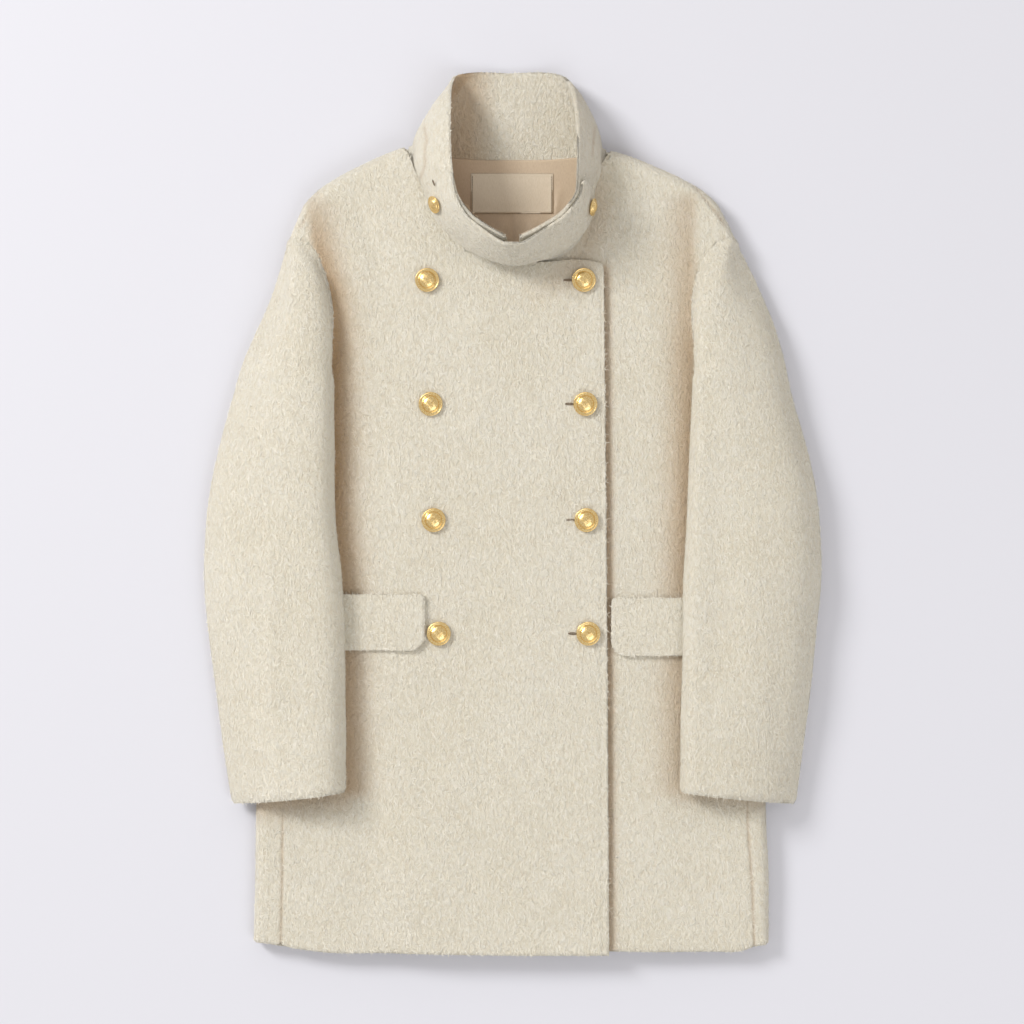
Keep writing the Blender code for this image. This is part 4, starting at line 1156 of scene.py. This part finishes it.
def dress_back(wool, nap_mat):
    right = side_edge("right", -1, HEM[0][1])
    left = side_edge("left", -1, HEM[-1][1])
    hem = spread([right[0]] + [(x, y + 3) for x, y in HEM[1:-1]] + [left[0]], BACK_COLUMNS)
    top = joined([right[-1]] + over_shoulder(RIGHT_SHOULDER)[1:-1][::-1] + [BACK_NECK[0]],
                 BACK_NECK,
                 [BACK_NECK[-1]] + over_shoulder(LEFT_SHOULDER)[1:-1] + [left[-1]],
                 stops=(BACK_SHOULDER_COLUMNS, BACK_NECK_COLUMNS, BACK_SHOULDER_COLUMNS_LEFT))
    grid = patch(right, left, hem, top, both_sides=True)
    outer, inner = place_grid(grid, lambda x, y, depth: laid(x, y, -1, depth))
    outer, inner = lower_hem(outer), lower_hem(inner)
    runs = edge_runs(outer)
    dips = rounded(runs["low"], 2.0)
    shade = shade_below(outer) * (outer[:, :, 2] > 12)
    for edge in ("left", "right"):
        column = 0 if edge == "left" else -1
        sewn = 0.15 + 0.85 * (outer[:, [column], 1] < UNDERARM_Y)
        dips = dips + valley(runs[edge], 1.0, 1.8) * sewn
        shade = np.maximum(shade, SEAM_SHADE * valley(runs[edge], 1, 1.6) * sewn)
    item, face, normal = shell("wool_back", outer, CLOTH, wool, 0.0, dips, flip=True, inner=inner,
                               shade=shade)
    shown = (outer[:, :, 2] > 6).astype(float) + 0.12
    shown[outer[:, :, 2] < 0.8] = 0.0
    nap_item = nap("wool_back_nap", face, normal, nap_mat, 12, NAP_DENSITY * 0.8, keep=shown,
                   shade=shade)
    declare("back")
    return item


def sleeve_grid(side):
    table = SLEEVES[side]
    sign = SIGN[side]
    hem_y = (HEM[0] if side == "right" else HEM[-1])[1]
    edges = [side_edge(side, layer, hem_y)[len(SIDE_ROWS) - 1:] for layer in (1, -1)]
    rows = []
    for y in SLEEVE_HEAD_ROWS + tuple(np.linspace(116, SLEEVE_HEM_Y, 15)):
        slant = CUFF_SLANT * smooth_step(CUFF_SLANT_FROM_Y, SLEEVE_HEM_Y, y)
        centre = (abs(smooth_lookup(table, "outer", y))
                  + abs(smooth_lookup(table, "inner", y))) / 2
        rows.append([(sign * u, y - slant * (u - centre), z)
                     for u, z in sleeve_section(side, y, *edges)])
    rows = np.array([sleeve_head(side, np.array(rows[0]), 0)] + rows)
    under = rows[:, [0, -1]].copy()          # the seam's edges, tucked in under the body's
    tucked = (under[:, :1, 1] > UNDERARM_Y) * 1.0
    under[:, :, 0] -= sign * SEAM_TUCK * tucked
    under[:, :, 2] += np.array((-0.6, 0.6)) * SEAM_TUCK * tucked
    rows = np.concatenate((under[:, :1], rows, under[:, 1:]), axis=1)
    line = SHOULDERS[side]
    up = np.array(line[1], float) - np.array(line[0], float)
    head = rows[0].copy()
    head[:, :2] += up / np.linalg.norm(up) * SEAM_TUCK
    head += (head.mean(axis=0) - head) * 0.12
    rows = np.concatenate((head[None], rows))
    gaps = np.linalg.norm(np.diff(rows, axis=0), axis=2).mean(axis=1)
    grid = smooth_rows(rows, gaps, SLEEVE_ROW_STEPS)
    even = grid.copy()
    for _ in range(60):
        even[1:-1] = (even[:-2] + 2 * even[1:-1] + even[2:]) / 4
    ys = np.median(grid[:, :, 1], axis=1)
    share = np.clip(np.minimum((ys - 95) / 25, (205 - ys) / 25), 0, 1)[:, None, None]
    return grid * (1 - share) + even * share


def dress_sleeve(side, wool, nap_mat):
    grid = sleeve_grid(side)
    flip = side == "left"
    runs = edge_runs(grid)
    open_rows = (grid[:, 0, 1] > UNDERARM_Y - 4)[:, None]
    dips = rounded(runs["high"], 2.0) + valley(runs["low"], 0.2, 2.0)
    up = np.clip((grid[:, :, 2] - 14) / 10, 0, 1)
    folds = SLEEVE_FOLDS[side]
    sides = np.where(open_rows, np.minimum(runs["left"], runs["right"]), 99)
    fade = np.clip(np.minimum(runs["low"], sides) / 20, 0, 1)
    relief = (troughs(grid, folds) + uneven(grid, 5 if flip else 9, 45, 0.5)) * up * fade
    relief -= valley(runs["high"] - 28, 0.4, 2.5) * up
    item, face, normal = shell("wool_sleeve_" + side, grid, CLOTH, wool, relief, dips, flip=flip)
    shown = np.clip((grid[:, :, 2] - 3) / 4, 0, 1)
    nap_item = nap("wool_sleeve_" + side + "_nap", face, normal, nap_mat, 13 if flip else 14,
                   NAP_DENSITY * 1.15, keep=shown, length=(3.0, 7.0), lift=1.1)
    declare("sleeve_" + side)
    return item


def dress_collar(wool, nap_mat):
    heights = np.concatenate(((-0.08, -0.04), np.linspace(0, 1, 43)))
    steps = np.linspace(0, 1, 110)
    rows = []
    for s in heights:
        row = [collar_point("right", t, s) for t in steps[::-1]]
        row += [collar_point("left", t, s) for t in steps[1:]]
        rows.append(row)
    grid = np.array(rows)
    around = np.concatenate((steps[::-1], steps[1:]))
    base = grid[2, :, :2] - np.array((0, NECK_MIDDLE_Y))
    outward = base / np.linalg.norm(base, axis=1, keepdims=True)
    spreading = NECK_FLANGE * (np.clip((around - 0.22) / 0.08, 0, 1)
                               + 0.3 * np.exp(-((around - 0.36) / 0.06) ** 2))
    for row, height in enumerate(heights):
        share = max(0.0, 1 - max(height, 0) / 0.07) ** 2
        grid[row, :, :2] += outward * (spreading * share)[:, None]
    runs = edge_runs(grid)
    dips = rounded(runs["high"], 2.0) + rounded(runs["left"], 1.8) + rounded(runs["right"], 1.8)
    relief = -valley(runs["high"] - 6, 0.5, 1.2) + uneven(grid, 21, 24, 0.5)
    relief *= np.clip(runs["low"] / 10, 0, 1)
    seams = seam_mark(grid, COLLAR_SEAMS) * (grid[:, :, 2] > 14)
    relief = relief - 0.8 * seams
    shade = np.maximum(SEAM_SHADE * seams, 0.06 * np.clip(grid[:, :, 0] / 60, 0, 1))
    within = (COLLAR_SHADE * np.clip((-14 - grid[:, :, 0]) / 30, 0, 1)
              * np.clip(grid[:, :, 2] / 8, 0.75, 1))
    within = np.maximum(within, 0.6 * np.clip((330 - grid[:, :, 1]) / 50, 0, 1))
    item, face, normal = shell("wool_collar", grid, CLOTH, wool, relief, dips, flip=True,
                               shade=shade, inner_shade=within)
    nap_item = nap("wool_collar_nap", face, normal, nap_mat, 15, NAP_DENSITY * 1.2,
                   length=(2.0, 4.2), lift=0.6, shade=shade)
    inside = nap("wool_collar_inside_nap", grid - normal * (CLOTH + 0.1), -normal, nap_mat, 16,
                 NAP_DENSITY * 0.9, length=(2.0, 4.0), lift=0.5, shade=within)
    declare("collar")
    return item


def dress_tab(wool, nap_mat):
    middle = (TAB_HEIGHTS[0] + TAB_HEIGHTS[1]) / 2
    half = (TAB_HEIGHTS[1] - TAB_HEIGHTS[0]) / 2
    columns = finer([-1, -.995, -.985, -.965, -.94, -.90, -.86, -.75, -.6, -.45, -.3, -.17, -.07,
                     .07, .17, .3, .45, .6, .75, .86, .90, .94, .965, .985, .995, 1], 5)
    rows = []
    for level in np.linspace(-1, 1, 37):
        row = []
        for position in columns:
            end = max(0.0, (abs(position) - 0.86) / 0.14)
            rounding = math.sqrt(max(0.0, 1 - (end * 0.93) ** 2))
            height = middle + level * half * rounding
            merged = smooth_step(-0.45, -0.75, position) if position < 0 else 0.0
            height += merged * 0.05 * (level + 1) / 2
            lift = (LAYER_GAP + TAB) * (0.12 + 0.88 * smooth_step(-1.0, -0.74, position))
            row.append(tab_point(position, height, lift))
        rows.append(row)
    grid = np.array(rows)
    runs = edge_runs(grid)
    dips = rounded(nearest(runs), 1.75)
    relief = (uneven(grid, 31, 18, 0.3) - valley(runs["low"] - 5.5, 0.3, 1.1)
              - valley(runs["high"] - 5.5, 0.3, 1.1))
    shade = 0.05 * np.clip(grid[:, :, 0] / 60, 0, 1)
    item, face, normal = shell("wool_throat_tab", grid, TAB, wool, relief, dips, shade=shade)
    nap_item = nap("wool_throat_tab_nap", face, normal, nap_mat, 17, NAP_DENSITY * 1.2,
                   length=(2.0, 4.2), lift=0.6, shade=shade)
    declare("throat_tab")
    return item


def dress_flap(name, wool, nap_mat):
    (x0, x1), (y0, y1) = FLAPS[name]
    ys = finer([y0, y0 + 1.2, y0 + 4, y0 + 8.5, y0 + FLAP_CORNER, (y0 + y1) / 2, y1 - 2, y1], 6)
    rows = []
    for y in ys:
        low = max(0.0, FLAP_CORNER - (y - y0))
        inset = FLAP_CORNER - math.sqrt(max(FLAP_CORNER ** 2 - low ** 2, 0))
        inset = max(inset, 2.5 - (y1 - y) if y > y1 - 2.5 else 0.0)
        row = []
        for x in np.linspace(x0 + inset, x1 - inset, 78):
            point = front_surface(x, y, name == "flap_right")
            point[2] += LAYER_GAP + FLAP
            row.append(point)
        rows.append(row)
    grid = np.array(rows)
    runs = edge_runs(grid)
    dips = rounded(nearest(runs), 1.9)
    edge = np.minimum(np.minimum(runs["left"], runs["right"]), runs["low"])
    relief = uneven(grid, 41, 22, 0.35) - valley(edge - 6, 0.35, 1.2) + 0.4
    item, face, normal = shell("wool_" + name, grid, FLAP, wool, relief, dips)
    nap_item = nap("wool_" + name + "_nap", face, normal, nap_mat, 18, NAP_DENSITY * 1.3,
                   length=(2.5, 5.5), lift=0.9)
    declare(name)
    return item


def dress_lining(satin, ribbon, thread_and_slit_shade):
    rise = LAYER_GAP + LINING
    top = spread([(x, y - 1.5) for x, y in BACK_NECK if abs(x) < 90], 97)
    low = spread([(-84, LINING_EDGE_Y), (0, LINING_EDGE_Y - 3), (84, LINING_EDGE_Y)], 97)
    flat = patch(spread([low[0], top[0]], 80), spread([low[-1], top[-1]], 80), low, top)
    grid = np.array([[inside_back(x, y, rise) for x, y in row] for row in flat])
    relief = troughs(grid, LINING_FOLDS)
    relief -= 0.7 * np.exp(-((grid[:, :, 0]) / 1.1) ** 2) * (grid[:, :, 1] < 304)
    under = ((np.abs(grid[:, :, 0] - LABEL_AT[0]) < LABEL_SIZE[0] / 2 + 2)
             & (np.abs(grid[:, :, 1] - LABEL_AT[1]) < LABEL_SIZE[1] / 2 + 2))
    relief = np.where(under, np.minimum(relief, 0.0), relief)
    shade = LINING_SHADE * np.clip((20 - grid[:, :, 0]) / 75, 0.1, 1)
    item, _, _ = shell("satin_neck_lining", grid, LINING, satin, relief, shade=shade)
    width, length, area = item["cut"]
    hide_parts("neck_lining")
    width, height = LABEL_SIZE
    rise = 2 * LAYER_GAP + LINING + LABEL
    xs = np.linspace(LABEL_AT[0] - width / 2, LABEL_AT[0] + width / 2, 60)
    ys = np.linspace(LABEL_AT[1] - height / 2, LABEL_AT[1] + height / 2, 30)
    grid = np.array([[inside_back(x, y, rise) for x in xs] for y in ys])
    runs = edge_runs(grid)
    edge = nearest(runs)
    relief = uneven(grid, 51, 30, 0.25) + 0.35 * np.exp(-((edge - 1.2) / 1.0) ** 2)
    label, _, _ = shell("satin_neck_label", grid, LABEL, ribbon, relief, rounded(edge, 0.4))
    stitches = []
    for end in (-1, 1):
        x = LABEL_AT[0] + end * (width / 2 - 1.4)
        for y in np.arange(LABEL_AT[1] - height / 2 + 1.5, LABEL_AT[1] + height / 2 - 2.5, 2.6):
            a, b = (inside_back(x, v, rise + 0.55) for v in (y, y + 1.8))
            stitches.append([p + np.array((dx, 0, dz)) for p in (a, b)
                             for dx, dz in ((-.22, 0), (0, .22), (.22, 0))])
    points = np.array(stitches).reshape(-1, 3)
    base = np.arange(len(stitches))[:, None] * 6
    faces = np.concatenate([base + np.array(f) for f in ((0, 1, 4, 3), (1, 2, 5, 4))], 0)
    thread_item = mesh_object("label_stitches", points, faces, thread_and_slit_shade)
    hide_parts("neck_label")


# -------------------------------------------------------------------- buttons
BUTTON_PROFILE = (      # share of the radius, share of the height
    (0.0, 1.0), (0.10, 0.995), (0.20, 0.975), (0.30, 0.945), (0.40, 0.895), (0.48, 0.845),
    (0.56, 0.78), (0.62, 0.71), (0.66, 0.64), (0.69, 0.555), (0.71, 0.485), (0.735, 0.455),
    (0.76, 0.45), (0.79, 0.455), (0.82, 0.47), (0.85, 0.475), (0.88, 0.47), (0.905, 0.47),
    (0.93, 0.50), (0.955, 0.505), (0.98, 0.47), (0.995, 0.40), (1.0, 0.33), (0.985, 0.22),
    (0.95, 0.14), (0.80, 0.03), (0.5, 0.0), (0.0, 0.0))


def button_relief(share, turn):
    """A generic rosette on the dome, a ring of beads round it and a rope edge."""
    petals = 0.20 * np.exp(-((share - 0.30) / 0.13) ** 2) * np.cos(turn * 8) ** 2
    centre = 0.35 * np.exp(-(share / 0.09) ** 2)
    beads = 0.32 * np.exp(-((share - 0.585) / 0.045) ** 2) * (0.5 + 0.5 * np.cos(turn * 24))
    leaves = 0.14 * np.exp(-((share - 0.46) / 0.05) ** 2) * np.cos(turn * 8 + math.pi / 2) ** 2
    rope = 0.14 * np.exp(-((share - 0.84) / 0.04) ** 2) * np.cos(turn * 32 + share * 30)
    return petals + centre + beads + leaves + rope


def dress_button(node, place, normal, scale, gilt):
    sides = 96
    share = np.array([p[0] for p in BUTTON_PROFILE])
    level = np.array([p[1] for p in BUTTON_PROFILE])
    turn = np.linspace(0, 2 * math.pi, sides, endpoint=False)
    shares_, turns = np.meshgrid(share, turn, indexing="ij")
    z = np.repeat(level[:, None], sides, 1) * BUTTON_HEIGHT
    top = (np.arange(len(share)) < np.argmax(share))[:, None]
    z = z + np.where(top, button_relief(shares_, turns), 0)
    radius = shares_ * BUTTON_RADIUS
    points = np.stack([radius * np.cos(turns), radius * np.sin(turns), z], -1)[1:-1] * scale
    frame_of = Vector(normal).to_track_quat("Z", "Y").to_matrix()
    matrix = np.array(frame_of)
    rings = points.shape[0]
    caps = np.array(((0, 0, (BUTTON_HEIGHT + 0.35) * scale), (0, 0, 0.0)))
    points = np.concatenate((points.reshape(-1, 3), caps)) @ matrix.T + np.array(place)
    index = np.arange(rings * sides).reshape(rings, sides)
    nxt = np.roll(index, -1, axis=1)
    quads = np.stack([index[:-1], index[1:], nxt[1:], nxt[:-1]], -1).reshape(-1, 4)
    caps_ = [np.stack([np.full(sides, rings * sides), index[0], nxt[0], nxt[0]], -1),
             np.stack([np.full(sides, rings * sides + 1), nxt[-1], index[-1], index[-1]], -1)]
    mesh = bpy.data.meshes.new("gilt_" + node)
    faces = [tuple(int(v) for v in f) for f in quads]
    faces += [tuple(int(v) for v in f[:3]) for cap in caps_ for f in cap]
    mesh.from_pydata([tuple(p * MM) for p in points], [], faces)
    mesh.validate()
    mesh.materials.append(gilt)
    mesh.shade_smooth()
    item = bpy.data.objects.new("gilt_" + node, mesh)
    bpy.context.scene.collection.objects.link(item)
    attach(item, "root")
    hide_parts(node)
    return item


def slit(name, at, along, normal, length, thread_and_slit_shade):
    """A worked buttonhole's end: its bound edge as a thin ring, coloured dark as painted shade of
    the slit's opening.
    """
    along = np.array(along, float) / np.linalg.norm(along)
    normal = np.array(normal, float)
    side = np.cross(normal, along)
    points, faces = [], []
    sides, turns = 8, 24
    for k in range(turns):
        angle = 2 * math.pi * k / turns
        middle = (np.array(at) + along * math.cos(angle) * length / 2
                  + side * math.sin(angle) * 0.75)
        out = along * math.cos(angle) + side * math.sin(angle)
        for j in range(sides):
            b = 2 * math.pi * j / sides
            points.append(middle + out * 0.42 * math.cos(b) + normal * (0.35 * math.sin(b) + 0.1))
    for k in range(turns):
        for j in range(sides):
            a, b = k * sides + j, k * sides + (j + 1) % sides
            c, d = ((k + 1) % turns) * sides + j, ((k + 1) % turns) * sides + (j + 1) % sides
            faces.append((a, b, d, c))
    item = mesh_object(name, points, faces, thread_and_slit_shade)
    return item


def dress_buttons(gilt, thread_and_slit_shade):
    for row, y in enumerate(BUTTON_ROWS_Y):
        for name, xs in BUTTON_X.items():
            place = front_surface(xs[row], y, True)
            place[2] += LAYER_GAP
            dress_button(f"{name}_{row + 1}", place, (0, 0, 1), 1.0, gilt)
            if name == "button_left":
                at = front_surface(xs[row] - 15.5, y, True)
                at[2] += 0.7
                slit(f"buttonhole_{row + 1}", at, (1, 0, 0), (0, 0, 1), 9.0, thread_and_slit_shade)
    spare = collar_point("right", *SPARE_SLIT)
    normal = collar_normal("right", *SPARE_SLIT)
    slit("buttonhole_collar", spare + normal * (LAYER_GAP + TAB), (0.35, -1, -0.4), normal,
         6.0, thread_and_slit_shade)
    for name, side, t in (("tab_button_right", "right", TAB_BUTTON_AT[0]),
                          ("tab_button_left", "left", TAB_BUTTON_AT[1])):
        end = TAB_ENDS[0] if side == "right" else TAB_ENDS[1]
        position = (1 - t) / (1 - end) * (-1 if side == "right" else 1)
        place = tab_point(position, TAB_BUTTON_HEIGHT, LAYER_GAP + TAB + TAB_BUTTON_GAP)
        dress_button(name, place, collar_normal(side, t, TAB_BUTTON_HEIGHT), TAB_BUTTON_SCALE, gilt)


# ------------------------------------------------------------ camera and room
def build_room():
    scene = bpy.context.scene
    camera = bpy.data.cameras.new("camera")
    camera.angle = 2 * math.atan(0.512 / (CAMERA_HEIGHT - 0.020))
    camera.sensor_fit = "AUTO"
    view = bpy.data.objects.new("camera", camera)
    view.location = (-0.0005, 0.001, CAMERA_HEIGHT)
    scene.collection.objects.link(view)
    scene.camera = view
    floor = bpy.data.meshes.new("floor")
    corners = [(-1, -1), (1, -1), (1, 1), (-1, 1)]
    floor.from_pydata([(x * FLOOR_REACH, y * FLOOR_REACH, FLOOR_Z) for x, y in corners],
                      [], [(0, 1, 2, 3)])
    floor.materials.append(plain_material("pale_floor", FLOOR_COLOUR, 0.85, 3.0, 0.005))
    ground = bpy.data.objects.new("floor", floor)
    scene.collection.objects.link(ground)
    world = bpy.data.worlds.new("studio")
    world.use_nodes = True
    put(world.node_tree.nodes["Background"], Color=(1.0, 0.965, 0.92, 1), Strength=WORLD_LIGHT)
    scene.world = world
    for name, place, size, power, colour in LIGHTS:
        light = bpy.data.lights.new(name, "AREA")
        light.shape = "DISK"
        light.size = size
        light.energy = power
        light.color = colour
        lamp = bpy.data.objects.new(name, light)
        lamp.location = place
        aim = Vector((0, 0, 0)) - Vector(place)
        lamp.rotation_euler = aim.to_track_quat("-Z", "Y").to_euler()
        scene.collection.objects.link(lamp)
    scene.view_settings.view_transform = "Standard"


def main():
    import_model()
    build_room()
    wool, nap_mat = wool_material(), nap_material()
    satin = satin_material("satin_lining", (0.60, 0.475, 0.345), (0.70, 0.575, 0.435), 2600)
    ribbon = satin_material("label_satin", (0.70, 0.60, 0.46), (0.80, 0.70, 0.57), 3000)
    gilt = gilt_material()
    # dark brown: the label's stitch thread, and painted shade for the buttonhole slits' openings
    thread_and_slit_shade = plain_material("brown_thread_and_slit_shade", (0.18, 0.11, 0.06), 0.8, 900.0, 0.3)
    right, left = front_grids()
    dress_back(wool, nap_mat)
    dress_front("wool_front_left", left, False, wool, False, nap_mat)
    dress_front("wool_front_right", right, True, wool, True, nap_mat)
    for side in ("right", "left"):
        dress_sleeve(side, wool, nap_mat)
    dress_collar(wool, nap_mat)
    dress_tab(wool, nap_mat)
    for name in FLAPS:
        dress_flap(name, wool, nap_mat)
    dress_lining(satin, ribbon, thread_and_slit_shade)
    dress_buttons(gilt, thread_and_slit_shade)


main()
